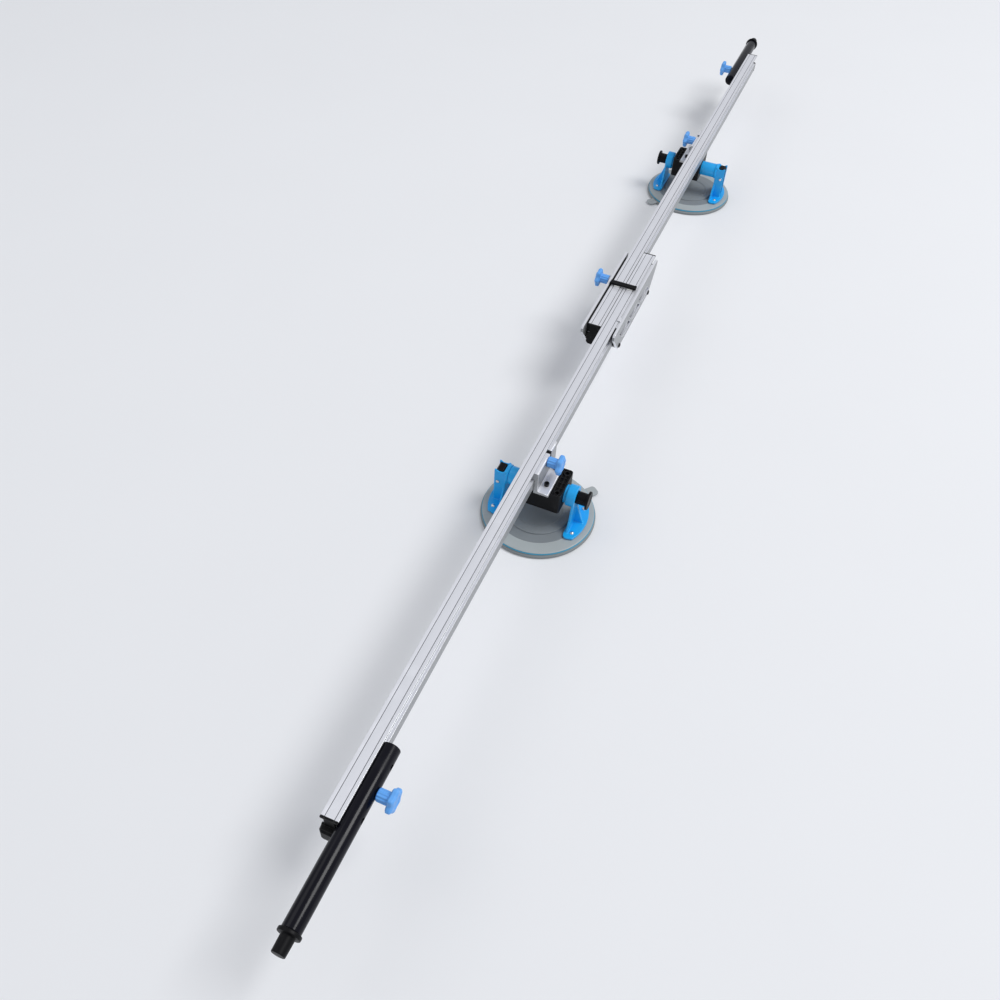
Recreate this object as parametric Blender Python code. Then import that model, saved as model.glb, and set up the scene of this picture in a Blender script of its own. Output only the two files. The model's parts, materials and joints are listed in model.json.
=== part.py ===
"""Large format tile carrier: two telescoping aluminium rails joined by a clamp bracket.

Each rail carries one vacuum cup on a sliding carriage and one grip handle on its outer side.
Metres, +Z up. X runs along the rails from midway between the handles' outer ends, the near rail lies
on the -Y side, and the pads rest on Z = 0.
Every unit is modelled with -Y as its outward side; the far units are the same, turned half round.
"""
import math

import bmesh
import bpy
from mathutils import Matrix, Vector
from mathutils.geometry import tessellate_polygon

# Fits
GAP = 0.0003                # left between faces that touch
RUN = 0.0005                # radial clearance of a bore that a screw or pin passes
SINK = 0.0004               # how far joined shapes run into each other
THROUGH = 0.002             # how far a cutter runs past what it cuts
WIDE_STEPS = 40             # sides of the round cup parts
ROUND_STEPS = 24            # sides of tubes and bosses
SMALL_STEPS = 10            # sides of screws, pins and their bores
EDGE = 0.001                # small broken edge

# Rail section and lengths
RAIL_TOP = 0.150
RAIL_WIDTH = 0.025
RAIL_HEIGHT = 0.046
RAIL_LENGTH = 1.303
RAIL_OVERLAP = 0.266        # length where the two rails lie side by side
RAIL_SPACING = 0.001        # between the two rails
RAIL_WALL = 0.002
RAIL_CHAMFER = 0.004
SCORE_OFFSET = 0.0068       # fine grooves along the top face, from its middle
SCORE_HALF = 0.0005
SCORE_DEPTH = 0.0007
FLANGE = 0.0035             # top flange above the side groove
GROOVE_HEIGHT = 0.018
GROOVE_DEPTH = 0.005
SLOT_HEIGHT = 0.0066
POCKET_HEIGHT = 0.012
RAIL_WEB = 0.002

# Rail end caps
CAP_THICK = 0.003
CAP_PLUG = 0.012
BUMPER_LENGTH = 0.009
BUMPER_TAPER = 0.72

# Vacuum cups
CUP_RADIUS = 0.1015
CUP_OFFSET = 0.0247         # of a cup's centre from the middle of the carrier, outward
NEAR_CUP_SETBACK = 0.678    # of a cup's centre from the outer end of its rail
FAR_CUP_SETBACK = 0.512
PAD_HEIGHT = 0.0075
PAD_LIP_INNER = 0.086
PAD_RECESS = 0.003
PAD_TOP_RADIUS = 0.0995
TAB_ANGLE = -39.0           # degrees, of the lift tab around the cup
TAB_REACH = 0.1210
TAB_WIDTH = 0.020
TAB_CORNER = 0.006
TAB_LOW = 0.0025
TAB_HIGH = 0.0060
BASE_RADIUS = 0.0985
BASE_PLUG_RADIUS = 0.0955
BASE_EDGE_TOP = 0.0112
BASE_STEP_RADIUS = 0.0765
BASE_STEP_LOW = 0.0121
BASE_FLOOR_TOP = 0.0126
BASE_DISC_SLOPE = 0.0008
BASE_DISC_TOP = 0.0160
BASE_DISH_RADIUS = 0.0420
BASE_DISH_DEPTH = 0.0015
RING_OUTER = 0.0995
RING_TOP = 0.0099

# Cup handle tube, uprights and pump
TUBE_HEIGHT = 0.076
TUBE_RADIUS = 0.016
TUBE_WALL = 0.0025
FOOT_THICK = 0.004
FOOT_CHORD = 0.0600
FOOT_RADIUS = 0.0890
FOOT_SPREAD = 28.0          # degrees, half of the foot's outer arc
FOOT_TIP_X = 0.0365
FOOT_TIP_RADIUS = 0.0080
SKIRT_HALF = 0.0340         # half width of an upright where it meets its foot
SKIRT_WAIST = 0.0245        # and at the height where its flare starts
SKIRT_RISE = 0.0360
PUMP_FACE = 0.0665          # outer face of the pump upright, from the cup's centre
PUMP_PLATE = 0.004
SOCKET_RADIUS = 0.0195
SOCKET_DEPTH = 0.010
SOCKET_END_WALL = 0.006
RIB_THICK = 0.005
RIB_FOOT = 0.0830
RIB_TOP = 0.0585
NECK_RADIUS = 0.0112
NECK_LENGTH = 0.0180
BUTTON_RADIUS = 0.0165
BUTTON_THICK = 0.004
PISTON_INNER = 0.0160       # inner face of the piston, from the cup's centre
PISTON_LENGTH = 0.007
PISTON_ROD = 0.004
SPRING_RADIUS = 0.0095
SPRING_WIRE = 0.0008
SPRING_TURNS = 6

# Release lever and its channel upright
CHANNEL_HALF = 0.013
CHANNEL_WALL = 0.003
CHANNEL_WEB = 0.004
CHANNEL_FACE = 0.0810
CHANNEL_TOP = 0.0905
SKIRT_TOP = 0.0520
CHANNEL_DIP_RADIUS = 0.0100
CHANNEL_DIP_DEPTH = 0.0035
BOSS_RADIUS = 0.0175
BOSS_THICK = 0.004
SPIGOT_LENGTH = 0.012
LEVER_PIVOT_OUT = 0.0740
LEVER_PIVOT_HEIGHT = 0.0630
LEVER_CLEAR = 0.0005
LEVER_LOW = 0.0300
PIN_RADIUS = 0.0020
PIN_HEAD_RADIUS = 0.0032
PIN_HEAD = 0.0012

# Rivets of the uprights
RIVET_X = 0.0300
RIVET_OUT = 0.0735
RIVET_RADIUS = 0.0020
RIVET_HEAD_RADIUS = 0.0034
RIVET_HEAD = 0.0020
RIVET_DEPTH = 0.0035        # of the shank below the foot

# Clamp block around the tube, under the rail
BLOCK_HALF = 0.033
BLOCK_INNER = -0.022
BLOCK_OUTER = 0.046
BLOCK_UNDER = 0.0200         # of the block below the axis of the cup's tube
BLOCK_OVER = 0.0225          # of the block above that axis
BLOCK_CORNER = 0.005
POCKET_INNER = 0.0305
POCKET_MARGIN = 0.0025
POCKET_SUNK = 0.0035
BLOCK_RIB = 0.0016
EYE_X = 0.0245
CROSS_RIB_X = 0.0120
EYE_RADIUS = 0.0062
EYE_BORE = 0.0040

# Carriage bracket between block and rail
BRACKET_HALF = 0.042
BRACKET_WALL = 0.007
BRACKET_TOP = 0.1455
BRACKET_FOOT = 0.0275
BRACKET_FOOT_THICK = 0.005
TONGUE_REACH = 0.0046
NOTCH_START = 0.0097
NOTCH_WIDTH = 0.008
NOTCH_BOTTOM = 0.1245
SCREW_X = 0.021
SCREW_OUT = 0.0168
SCREW_RADIUS = 0.0024
SCREW_HEAD_RADIUS = 0.0045
SCREW_HEAD = 0.005
SCREW_DEPTH = 0.014
HEX_RADIUS = 0.0023
HEX_DEPTH = 0.003
NUT_THICK = 0.0038
NUT_HEIGHT = 0.0112
NUT_LENGTH = 0.020

# Star knobs
STUD_RADIUS = 0.0028
HUB_RADIUS = 0.0092
HUB_LENGTH = 0.0170
HUB_FLUTES = 12
HUB_FLUTE_DEPTH = 0.0007
STAR_RADIUS = 0.0180
STAR_LOBES = 6
STAR_LOBE_DEPTH = 0.0034
STAR_THICK = 0.0095
STAR_EDGE = 0.0016
KNOB_STEPS = 24

# Grip handles
HANDLE_RADIUS = 0.013
HANDLE_WALL = 0.002
HANDLE_NEST = 0.0031        # of the tube into the rail's side groove
HANDLE_LAP = 0.118          # of the near tube along the rail
HANDLE_PAST = 0.128         # of the near tube past the rail's outer end
FAR_HANDLE_IN = 0.035       # of the far handle, slid further in than the near one
HANDLE_CHAMFER = 0.0015
HANDLE_KNOB_SETBACK = 0.055
HANDLE_SCREW_SPACING = 0.0380
HANDLE_SCREW_HEAD = 0.0038
HANDLE_SCREW_HEAD_RADIUS = 0.0036
HANDLE_SCREW_RADIUS = 0.0020
ACCESS_RADIUS = 0.0045
SLIDE_BAR_HALF = 0.0470
SLIDE_PAD_REACH = 0.0013
COLLAR_RADIUS = 0.0155
COLLAR_THICK = 0.005
STUB_RADIUS = 0.0096
STUB_LENGTH = 0.022
PLUG_DEPTH = 0.016

# Middle bracket
BRACKET_SETBACK = 0.148     # of the bracket's middle from the near rail's inner end
CHEEK_HALF_TOP = 0.138
CHEEK_TAPER = 0.040         # of the bottom edge, shorter than the top one at each end
CHEEK_TOP = 0.1520
CHEEK_SHOULDER = 0.1400     # height where the ends start to taper
CHEEK_BOTTOM = 0.0930
CHEEK_THICK = 0.0050
CHEEK_SPACE = 0.0035        # between a rail's outer face and the cheek
CHEEK_CORNER = 0.0040
TRUSS_LOW = 0.1030
TRUSS_HIGH = 0.1290
TRUSS_LEAN = 0.0080         # of the row of triangles past the cheek's bottom edge
TRUSS_CELLS = 6
TRUSS_RIB = 0.0060
KNOB_BOSS_RADIUS = 0.0100
KNOB_BOSS = 0.0040
FLOOR_THICK = 0.0102
BOLT_INSET = 0.0045         # of the bolts from the ends of the cheek's bottom edge
BOLT_HEIGHT = 0.0988
BOLT_RADIUS = 0.0025
BOLT_HEAD_RADIUS = 0.0046
BOLT_HEAD = 0.0020
LINER_INSET = 0.023         # of the liners from the ends of the cheek's top edge
LINER_LOW = 0.110
LINER_HIGH = 0.1500
LINER_TONGUE = 0.0042
LIP_INSET = 0.005           # of the near cheek's lip, which closes the gap above its liner
LIP_LOW = 0.1467
BRACKET_KNOB_SHIFT = 0.045  # shifts are from the bracket's middle, towards the far end
PRESSURE_PAD_RADIUS = 0.0052
PRESSURE_PAD_THICK = 0.003
STRAP_SHIFT = 0.018
STRAP_HALF = 0.0045
STRAP_THICK = 0.0050
STRAP_LIFT = 0.0025         # of the strap above the rails
STRAP_REACH = 0.0250        # past the middle, over the near rail
STRAP_LEG_LOW = 0.1330
STRAP_PAD = 0.011
STRAP_PAD_WEB = 0.0010
STRAP_PAD_PROUD = 0.0015    # of the pads beyond the strap's edges
CLIP_SHIFT = -0.085
CLIP_HALF = 0.006
CLIP_THICK = 0.0020
CLIP_LAP = 0.0040

# Worked out from the sizes above
RAIL_INNER_END = RAIL_OVERLAP / 2
RAIL_REACH = RAIL_LENGTH - RAIL_INNER_END          # from the middle of the carrier to a rail's outer end
RAIL_BOTTOM = RAIL_TOP - RAIL_HEIGHT
RAIL_MIDDLE = (RAIL_SPACING + RAIL_WIDTH) / 2      # of a rail's centre plane from the middle
RAIL_FACE = RAIL_MIDDLE + RAIL_WIDTH / 2           # of a rail's outer face from the middle
GROOVE_MIDDLE = RAIL_TOP - FLANGE - GROOVE_HEIGHT / 2
LIP_FACE = RAIL_WIDTH / 2 - GROOVE_DEPTH           # bottom of the side groove, from the centre plane
POCKET_FACE = LIP_FACE - RAIL_WALL
BASE_BOTTOM = PAD_HEIGHT + GAP
BASE_DISC_RADIUS = FOOT_CHORD - BASE_DISC_SLOPE - GAP
FOOT_BOTTOM = BASE_FLOOR_TOP + GAP
FOOT_TOP = FOOT_BOTTOM + FOOT_THICK
TUBE_BORE = TUBE_RADIUS - TUBE_WALL
TUBE_OUTER_END = PUMP_FACE - SOCKET_END_WALL - GAP
TUBE_INNER_END = FOOT_CHORD - BOSS_THICK - GAP
BLOCK_BOTTOM = TUBE_HEIGHT - BLOCK_UNDER
BLOCK_TOP = TUBE_HEIGHT + BLOCK_OVER
BLOCK_SEAT = RAIL_BOTTOM - GAP
FACE_OUT = RAIL_FACE - CUP_OFFSET                  # rail's outer face, seen from a cup's centre
WALL_IN = FACE_OUT + GAP
WALL_OUT = WALL_IN + BRACKET_WALL
FOOT_LEVEL = BLOCK_TOP + GAP
STUD_TIP = FACE_OUT - RAIL_WIDTH / 2 + RAIL_WEB / 2 + GAP
HANDLE_OUT = HANDLE_RADIUS - HANDLE_NEST           # of a grip tube's axis from the rail's outer face
HANDLE_FACE = HANDLE_OUT + HANDLE_RADIUS
HANDLE_INNER_END = RAIL_REACH - HANDLE_LAP
HANDLE_OUTER_END = RAIL_REACH + HANDLE_PAST
HANDLE_KNOB_X = RAIL_REACH - HANDLE_KNOB_SETBACK
MIDDLE_X = FAR_HANDLE_IN / 2                       # of the carrier's middle, halfway along the overlap
NEAR_CUP_X = NEAR_CUP_SETBACK - RAIL_REACH         # from the carrier's middle
FAR_CUP_X = RAIL_REACH - FAR_CUP_SETBACK
CHEEK_IN = RAIL_FACE + CHEEK_SPACE
CHEEK_OUT = CHEEK_IN + CHEEK_THICK
KNOB_BOSS_FACE = CHEEK_OUT + KNOB_BOSS
BRACKET_X = RAIL_INNER_END - BRACKET_SETBACK
CHEEK_HALF_BOTTOM = CHEEK_HALF_TOP - CHEEK_TAPER
TRUSS_HALF = CHEEK_HALF_BOTTOM + TRUSS_LEAN
FLOOR_HALF = CHEEK_HALF_BOTTOM
BOLT_X = CHEEK_HALF_BOTTOM - BOLT_INSET
LINER_HALF = CHEEK_HALF_TOP - LINER_INSET
LIP_HALF = LINER_HALF - LIP_INSET
BRACKET_KNOB_X = BRACKET_X + BRACKET_KNOB_SHIFT
STRAP_X = BRACKET_X + STRAP_SHIFT
CLIP_X = BRACKET_X + CLIP_SHIFT
HALF_TURN = math.pi

FINISHES = {
    "aluminium": ((0.66, 0.68, 0.70), 0.35, 0.9),
    "azure_plastic": ((0.010, 0.285, 0.745), 0.38, 0.0),
    "knob_plastic": ((0.110, 0.330, 0.830), 0.42, 0.0),
    "grey_plastic": ((0.235, 0.265, 0.300), 0.50, 0.0),
    "grey_rubber": ((0.150, 0.165, 0.175), 0.75, 0.0),
    "black_gloss": ((0.012, 0.012, 0.016), 0.18, 0.0),
    "black_plastic": ((0.018, 0.018, 0.020), 0.55, 0.0),
    "black_steel": ((0.020, 0.020, 0.022), 0.35, 0.6),
    "bright_steel": ((0.620, 0.630, 0.640), 0.25, 1.0),
    "white_nylon": ((0.800, 0.800, 0.790), 0.45, 0.0),
}


def clear_scene():
    for item in list(bpy.data.objects):
        bpy.data.objects.remove(item, do_unlink=True)


def material(finish):
    found = bpy.data.materials.get(finish)
    if found:
        return found
    colour, roughness, metallic = FINISHES[finish]
    made = bpy.data.materials.new(finish)
    made.use_nodes = True
    shader = made.node_tree.nodes["Principled BSDF"]
    shader.inputs["Base Color"].default_value = (*colour, 1.0)
    shader.inputs["Roughness"].default_value = roughness
    shader.inputs["Metallic"].default_value = metallic
    return made


def frame(name, location=(0.0, 0.0, 0.0), turn=0.0, parent=None):
    """An empty that carries a unit: outward is its -Y side."""
    empty = bpy.data.objects.new(name, None)
    bpy.context.scene.collection.objects.link(empty)
    empty.location = location
    empty.rotation_euler = (0.0, 0.0, turn)
    empty.parent = parent
    return empty


def solid(name, points, faces, smooth=None):
    """A closed mesh object with its faces turned outward."""
    mesh = bpy.data.meshes.new(name)
    work = bmesh.new()
    corners = [work.verts.new(point) for point in points]
    for face in faces:
        work.faces.new([corners[index] for index in face])
    bmesh.ops.recalc_face_normals(work, faces=work.faces)
    work.to_mesh(mesh)
    work.free()
    if smooth is not None:
        mesh.shade_smooth()
        mesh.set_sharp_from_angle(angle=math.radians(smooth))
    item = bpy.data.objects.new(name, mesh)
    bpy.context.scene.collection.objects.link(item)
    return item


def prism(name, loops, axis, low, high, smooth=None):
    """Flat outline (first loop) with holes (other loops), extruded along an axis."""
    order = {
        "X": lambda a, b, h: (h, a, b),
        "Y": lambda a, b, h: (a, h, b),
        "Z": lambda a, b, h: (a, b, h),
    }[axis]
    flat = [point for loop in loops for point in loop]
    count = len(flat)
    points = [order(a, b, low) for a, b in flat] + [order(a, b, high) for a, b in flat]
    if len(loops) == 1:
        ends = [tuple(range(count))]
    else:
        ends = tessellate_polygon([[Vector((a, b, 0.0)) for a, b in loop] for loop in loops])
    faces = [tuple(end) for end in ends]
    faces += [tuple(index + count for index in reversed(end)) for end in ends]
    first = 0
    for loop in loops:
        size = len(loop)
        for step in range(size):
            here = first + step
            there = first + (step + 1) % size
            faces.append((here, there, there + count, here + count))
        first += size
    return solid(name, points, faces, smooth)


def box(name, low, high):
    corners = [(low[0], low[1]), (high[0], low[1]), (high[0], high[1]), (low[0], high[1])]
    return prism(name, [corners], "Z", low[2], high[2])


def rings(name, loops, closed, smooth=35.0):
    """Skin over rings of equal size: a solid with capped ends, or a closed tube."""
    size = len(loops[0])
    points = [point for loop in loops for point in loop]
    faces = []
    spans = len(loops) if closed else len(loops) - 1
    for span in range(spans):
        here = span * size
        there = ((span + 1) % len(loops)) * size
        for step in range(size):
            after = (step + 1) % size
            faces.append((here + step, here + after, there + after, there + step))
    if not closed:
        faces.append(tuple(range(size)))
        faces.append(tuple(range(len(points) - size, len(points))))
    return solid(name, points, faces, smooth)


def turned(name, profile, axis, centre, steps=ROUND_STEPS, closed=False, smooth=35.0):
    """Profile of (radius, height) pairs spun about an axis through the centre."""
    place = {
        "X": lambda c, s, h: (h, c, s),
        "Y": lambda c, s, h: (c, h, s),
        "Z": lambda c, s, h: (c, s, h),
    }[axis]
    loops = []
    for radius, height in profile:
        loop = []
        for step in range(steps):
            angle = 2 * math.pi * step / steps
            spot = place(radius * math.cos(angle), radius * math.sin(angle), height)
            loop.append(tuple(a + b for a, b in zip(spot, centre)))
        loops.append(loop)
    return rings(name, loops, closed, smooth)


def rod(name, radius, axis, centre, start, end, steps=SMALL_STEPS):
    return turned(name, [(radius, start), (radius, end)], axis, centre, steps)


def arc(centre, radius, start, end, steps):
    """Points on an arc, both ends included; angles in degrees."""
    angles = [math.radians(start + (end - start) * step / steps) for step in range(steps + 1)]
    return [(centre[0] + radius * math.cos(angle), centre[1] + radius * math.sin(angle)) for angle in angles]


def mirrored(half):
    """Closes an outline whose points run down its right side, by mirroring them to the left."""
    return half + [(-across, along) for across, along in reversed(half)]


def tool(item, target):
    """Keeps a shape as a hidden helper in the frame of the object that it works on."""
    item.hide_render = True
    item.display_type = "WIRE"
    item.parent = target
    return item


def combine(target, operation, items):
    for item in items:
        modifier = target.modifiers.new(f"{operation.lower()} {item.name}", "BOOLEAN")
        modifier.operation = operation
        modifier.solver = "EXACT"
        modifier.object = tool(item, target)


def add(target, *items):
    combine(target, "UNION", items)


def cut(target, *items):
    combine(target, "DIFFERENCE", items)


def place(item, parent, finish, pivot=(0.0, 0.0, 0.0)):
    """Gives an object its finish and parent, and its origin at the pivot in the parent's frame."""
    item.data.transform(Matrix.Translation(-Vector(pivot)))
    for helper in item.children:
        helper.data.transform(Matrix.Translation(-Vector(pivot)))
    item.location = pivot
    item.parent = parent
    item.data.materials.append(material(finish))
    return item


# Rails and their end caps

def rail_outer_loop(with_pockets):
    """Section of the rail about its centre plane, heights from the ground."""
    half = RAIL_WIDTH / 2
    groove_top = GROOVE_MIDDLE + GROOVE_HEIGHT / 2
    groove_low = GROOVE_MIDDLE - GROOVE_HEIGHT / 2
    points = [
        (SCORE_OFFSET - SCORE_HALF, RAIL_TOP),
        (SCORE_OFFSET, RAIL_TOP - SCORE_DEPTH),
        (SCORE_OFFSET + SCORE_HALF, RAIL_TOP),
        (half, RAIL_TOP),
        (half, groove_top),
        (LIP_FACE, groove_top),
    ]
    if with_pockets:
        slot = SLOT_HEIGHT / 2
        pocket = POCKET_HEIGHT / 2
        points += [
            (LIP_FACE, GROOVE_MIDDLE + slot),
            (POCKET_FACE, GROOVE_MIDDLE + slot),
            (POCKET_FACE, GROOVE_MIDDLE + pocket),
            (RAIL_WEB / 2, GROOVE_MIDDLE + pocket),
            (RAIL_WEB / 2, GROOVE_MIDDLE - pocket),
            (POCKET_FACE, GROOVE_MIDDLE - pocket),
            (POCKET_FACE, GROOVE_MIDDLE - slot),
            (LIP_FACE, GROOVE_MIDDLE - slot),
        ]
    points += [
        (LIP_FACE, groove_low),
        (half, groove_low),
        (half, RAIL_BOTTOM + RAIL_CHAMFER),
        (half - RAIL_CHAMFER, RAIL_BOTTOM),
    ]
    return mirrored(points)


def rail_hollow_loop(inset):
    """Box hollow in the lower half of the section, or a plug that fits it when inset."""
    half = RAIL_WIDTH / 2 - RAIL_WALL - inset
    top = GROOVE_MIDDLE - GROOVE_HEIGHT / 2 - RAIL_WALL - inset
    low = RAIL_BOTTOM + RAIL_WALL + inset
    return mirrored([(half, top), (half, low + RAIL_CHAMFER), (half - RAIL_CHAMFER, low)])


def shifted(loop, across):
    return [(a + across, b) for a, b in loop]


def make_rail(side, carrier):
    section = [shifted(rail_outer_loop(True), -RAIL_MIDDLE), shifted(rail_hollow_loop(0.0), -RAIL_MIDDLE)]
    rail = prism(f"{side}_rail", section, "X", -RAIL_REACH, RAIL_INNER_END)
    place(rail, carrier, "aluminium")


def make_inner_cap(side, carrier):
    start = RAIL_INNER_END + GAP
    name = f"{side}_rail_inner_cap"
    cap = prism(name, [shifted(rail_outer_loop(False), -RAIL_MIDDLE)], "X", start, start + CAP_THICK)
    plug = shifted(rail_hollow_loop(GAP), -RAIL_MIDDLE)
    add(cap, prism(f"{name} plug", [plug], "X", RAIL_INNER_END - CAP_PLUG, start + SINK))
    place(cap, carrier, "black_plastic")


def bumper_loop(scale):
    """Outline of the lower body of the rail, drawn in towards its middle by the scale."""
    half = RAIL_WIDTH / 2
    top = GROOVE_MIDDLE - GROOVE_HEIGHT / 2
    outline = mirrored([
        (half - RAIL_CHAMFER / 2, top),
        (half, top - RAIL_CHAMFER / 2),
        (half, RAIL_BOTTOM + RAIL_CHAMFER),
        (half - RAIL_CHAMFER, RAIL_BOTTOM),
    ])
    middle = (top + RAIL_BOTTOM) / 2
    return [(a * scale - RAIL_MIDDLE, middle + (b - middle) * scale) for a, b in outline]


def make_outer_cap(side, carrier):
    end = -RAIL_REACH - GAP
    name = f"{side}_rail_outer_cap"
    cap = prism(name, [shifted(rail_outer_loop(False), -RAIL_MIDDLE)], "X", end - CAP_THICK, end)
    plug = shifted(rail_hollow_loop(GAP), -RAIL_MIDDLE)
    add(cap, prism(f"{name} plug", [plug], "X", end - SINK, -RAIL_REACH + CAP_PLUG))
    tip = end - CAP_THICK - BUMPER_LENGTH
    stations = ((end - CAP_THICK + SINK, 1.0 - SINK), (tip + BUMPER_LENGTH * 0.35, 0.97), (tip, BUMPER_TAPER))
    loops = [[(x, y, z) for y, z in bumper_loop(scale)] for x, scale in stations]
    add(cap, rings(f"{name} bumper", loops, closed=False))
    place(cap, carrier, "black_plastic")


# Vacuum cups

def make_pad(side, cup):
    profile = [
        (0.0, PAD_RECESS),
        (PAD_LIP_INNER - PAD_RECESS, PAD_RECESS),
        (PAD_LIP_INNER, 0.0),
        (CUP_RADIUS - 0.0020, 0.0),
        (CUP_RADIUS, 0.0020),
        (CUP_RADIUS, PAD_HEIGHT - 0.0025),
        (PAD_TOP_RADIUS, PAD_HEIGHT),
        (0.0, PAD_HEIGHT),
    ]
    pad = turned_disc(f"{side}_cup_pad", profile, WIDE_STEPS)
    half = TAB_WIDTH / 2
    inner = CUP_RADIUS - 0.010
    corner_x = TAB_REACH - TAB_CORNER
    corner_y = half - TAB_CORNER
    outline = [(inner, -half), (inner, half)]
    outline += arc((corner_x, corner_y), TAB_CORNER, 90, 0, 3)
    outline += arc((corner_x, -corner_y), TAB_CORNER, 0, -90, 3)
    tab = prism(f"{side}_cup_pad tab", [outline], "Z", TAB_LOW, TAB_HIGH, smooth=35.0)
    tab.data.transform(Matrix.Rotation(math.radians(TAB_ANGLE), 4, "Z"))
    add(pad, tab)
    place(pad, cup, "grey_rubber")


def turned_disc(name, profile, steps):
    """A turned solid about Z whose profile starts and ends on the axis."""
    centre_low = profile[0][1]
    centre_high = profile[-1][1]
    inner = profile[1:-1]
    points = [(0.0, 0.0, centre_low)]
    for radius, height in inner:
        for step in range(steps):
            angle = 2 * math.pi * step / steps
            points.append((radius * math.cos(angle), radius * math.sin(angle), height))
    points.append((0.0, 0.0, centre_high))
    last = len(points) - 1
    faces = []
    for step in range(steps):
        after = (step + 1) % steps
        faces.append((0, 1 + step, 1 + after))
        top = 1 + (len(inner) - 1) * steps
        faces.append((last, top + after, top + step))
        for level in range(len(inner) - 1):
            here = 1 + level * steps
            there = here + steps
            faces.append((here + step, here + after, there + after, there + step))
    return solid(name, points, faces, smooth=30.0)


def rivet_places():
    return [(x, y) for y in (-RIVET_OUT, RIVET_OUT) for x in (-RIVET_X, RIVET_X)]


def make_base(side, cup):
    profile = [
        (0.0, BASE_BOTTOM),
        (BASE_PLUG_RADIUS, BASE_BOTTOM),
        (BASE_PLUG_RADIUS, RING_TOP + GAP),
        (BASE_RADIUS, RING_TOP + GAP),
        (BASE_RADIUS, BASE_EDGE_TOP),
        (BASE_STEP_RADIUS, BASE_STEP_LOW),
        (BASE_STEP_RADIUS - 0.0008, BASE_FLOOR_TOP),
        (BASE_DISC_RADIUS + BASE_DISC_SLOPE, BASE_FLOOR_TOP),
        (BASE_DISC_RADIUS, BASE_DISC_TOP),
        (BASE_DISH_RADIUS, BASE_DISC_TOP),
        (BASE_DISH_RADIUS - BASE_DISH_DEPTH, BASE_DISC_TOP - BASE_DISH_DEPTH),
        (0.0, BASE_DISC_TOP - BASE_DISH_DEPTH),
    ]
    base = turned_disc(f"{side}_cup_base", profile, WIDE_STEPS)
    for number, (x, y) in enumerate(rivet_places()):
        low = FOOT_BOTTOM - RIVET_DEPTH - GAP
        cut(base, rod(f"{side}_cup_base bore {number}", RIVET_RADIUS + GAP, "Z", (x, y, 0.0), low, FOOT_TOP))
    place(base, cup, "grey_plastic")


def make_ring(side, cup):
    inner = BASE_PLUG_RADIUS + GAP
    profile = [
        (inner, BASE_BOTTOM),
        (RING_OUTER, BASE_BOTTOM),
        (RING_OUTER, RING_TOP),
        (inner, RING_TOP),
    ]
    ring = turned(f"{side}_cup_ring", profile, "Z", (0.0, 0.0, 0.0), WIDE_STEPS, closed=True, smooth=30.0)
    place(ring, cup, "azure_plastic")


def foot(name, toward):
    """Crescent foot that follows the edge of the base; toward is -1 for the pump, +1 for the lever."""
    outer = arc((0.0, 0.0), FOOT_RADIUS, 90 - FOOT_SPREAD, 90 + FOOT_SPREAD, 10)
    tip = arc((-FOOT_TIP_X, FOOT_CHORD + FOOT_TIP_RADIUS), FOOT_TIP_RADIUS, 150, 270, 5)
    outline = outer + tip + [(-x, y) for x, y in reversed(tip)]
    plate = prism(name, [[(x, toward * y) for x, y in outline]], "Z", FOOT_BOTTOM, FOOT_TOP)
    profile = [
        (RIVET_RADIUS, FOOT_BOTTOM - RIVET_DEPTH),
        (RIVET_RADIUS, FOOT_TOP - SINK),
        (RIVET_HEAD_RADIUS, FOOT_TOP - SINK),
        (RIVET_HEAD_RADIUS, FOOT_TOP + RIVET_HEAD * 0.4),
        (RIVET_HEAD_RADIUS * 0.5, FOOT_TOP + RIVET_HEAD),
    ]
    for x in (-RIVET_X, RIVET_X):
        add(plate, turned(f"{name} rivet {x}", profile, "Z", (x, toward * RIVET_OUT, 0.0), SMALL_STEPS))
    return plate


def make_pump_upright(side, cup):
    """Gusseted upright on the outer side: it holds the tube's end and guides the pump."""
    name = f"{side}_cup_pump_upright"
    upright = foot(name, -1)
    centre = (0.0, TUBE_HEIGHT)
    crown = arc(centre, SOCKET_RADIUS, -20, 200, 12)
    flare = [(SKIRT_HALF, FOOT_TOP - SINK), (SKIRT_WAIST, SKIRT_RISE)]
    outline = flare + crown + [(-x, z) for x, z in reversed(flare)]
    inner_face = -PUMP_FACE + PUMP_PLATE
    add(upright, prism(f"{name} plate", [outline], "Y", -PUMP_FACE, inner_face, smooth=35.0))
    socket_start = -PUMP_FACE + SOCKET_END_WALL + SOCKET_DEPTH
    socket_centre = (0.0, 0.0, TUBE_HEIGHT)
    socket_radius = SOCKET_RADIUS - SINK / 2
    outer_end = -PUMP_FACE + SINK
    steps = ROUND_STEPS
    add(upright, rod(f"{name} socket", socket_radius, "Y", socket_centre, outer_end, socket_start, steps))
    rib = [
        (-PUMP_FACE + SINK, RIB_TOP),
        (-PUMP_FACE + SINK, FOOT_TOP - SINK),
        (-RIB_FOOT, FOOT_TOP - SINK),
        (-RIB_FOOT + 0.0015, FOOT_TOP + 0.004),
        (-PUMP_FACE - 0.0020, RIB_TOP),
    ]
    add(upright, prism(f"{name} rib", [rib], "X", -RIB_THICK / 2, RIB_THICK / 2))
    end_wall = -PUMP_FACE + SOCKET_END_WALL
    bore = [
        (NECK_RADIUS + GAP, -PUMP_FACE - THROUGH),
        (NECK_RADIUS + GAP, end_wall),
        (TUBE_RADIUS + GAP, end_wall),
        (TUBE_RADIUS + GAP, socket_start + THROUGH),
    ]
    cut(upright, turned(f"{name} bore", bore, "Y", socket_centre))
    place(upright, cup, "azure_plastic")


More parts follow.
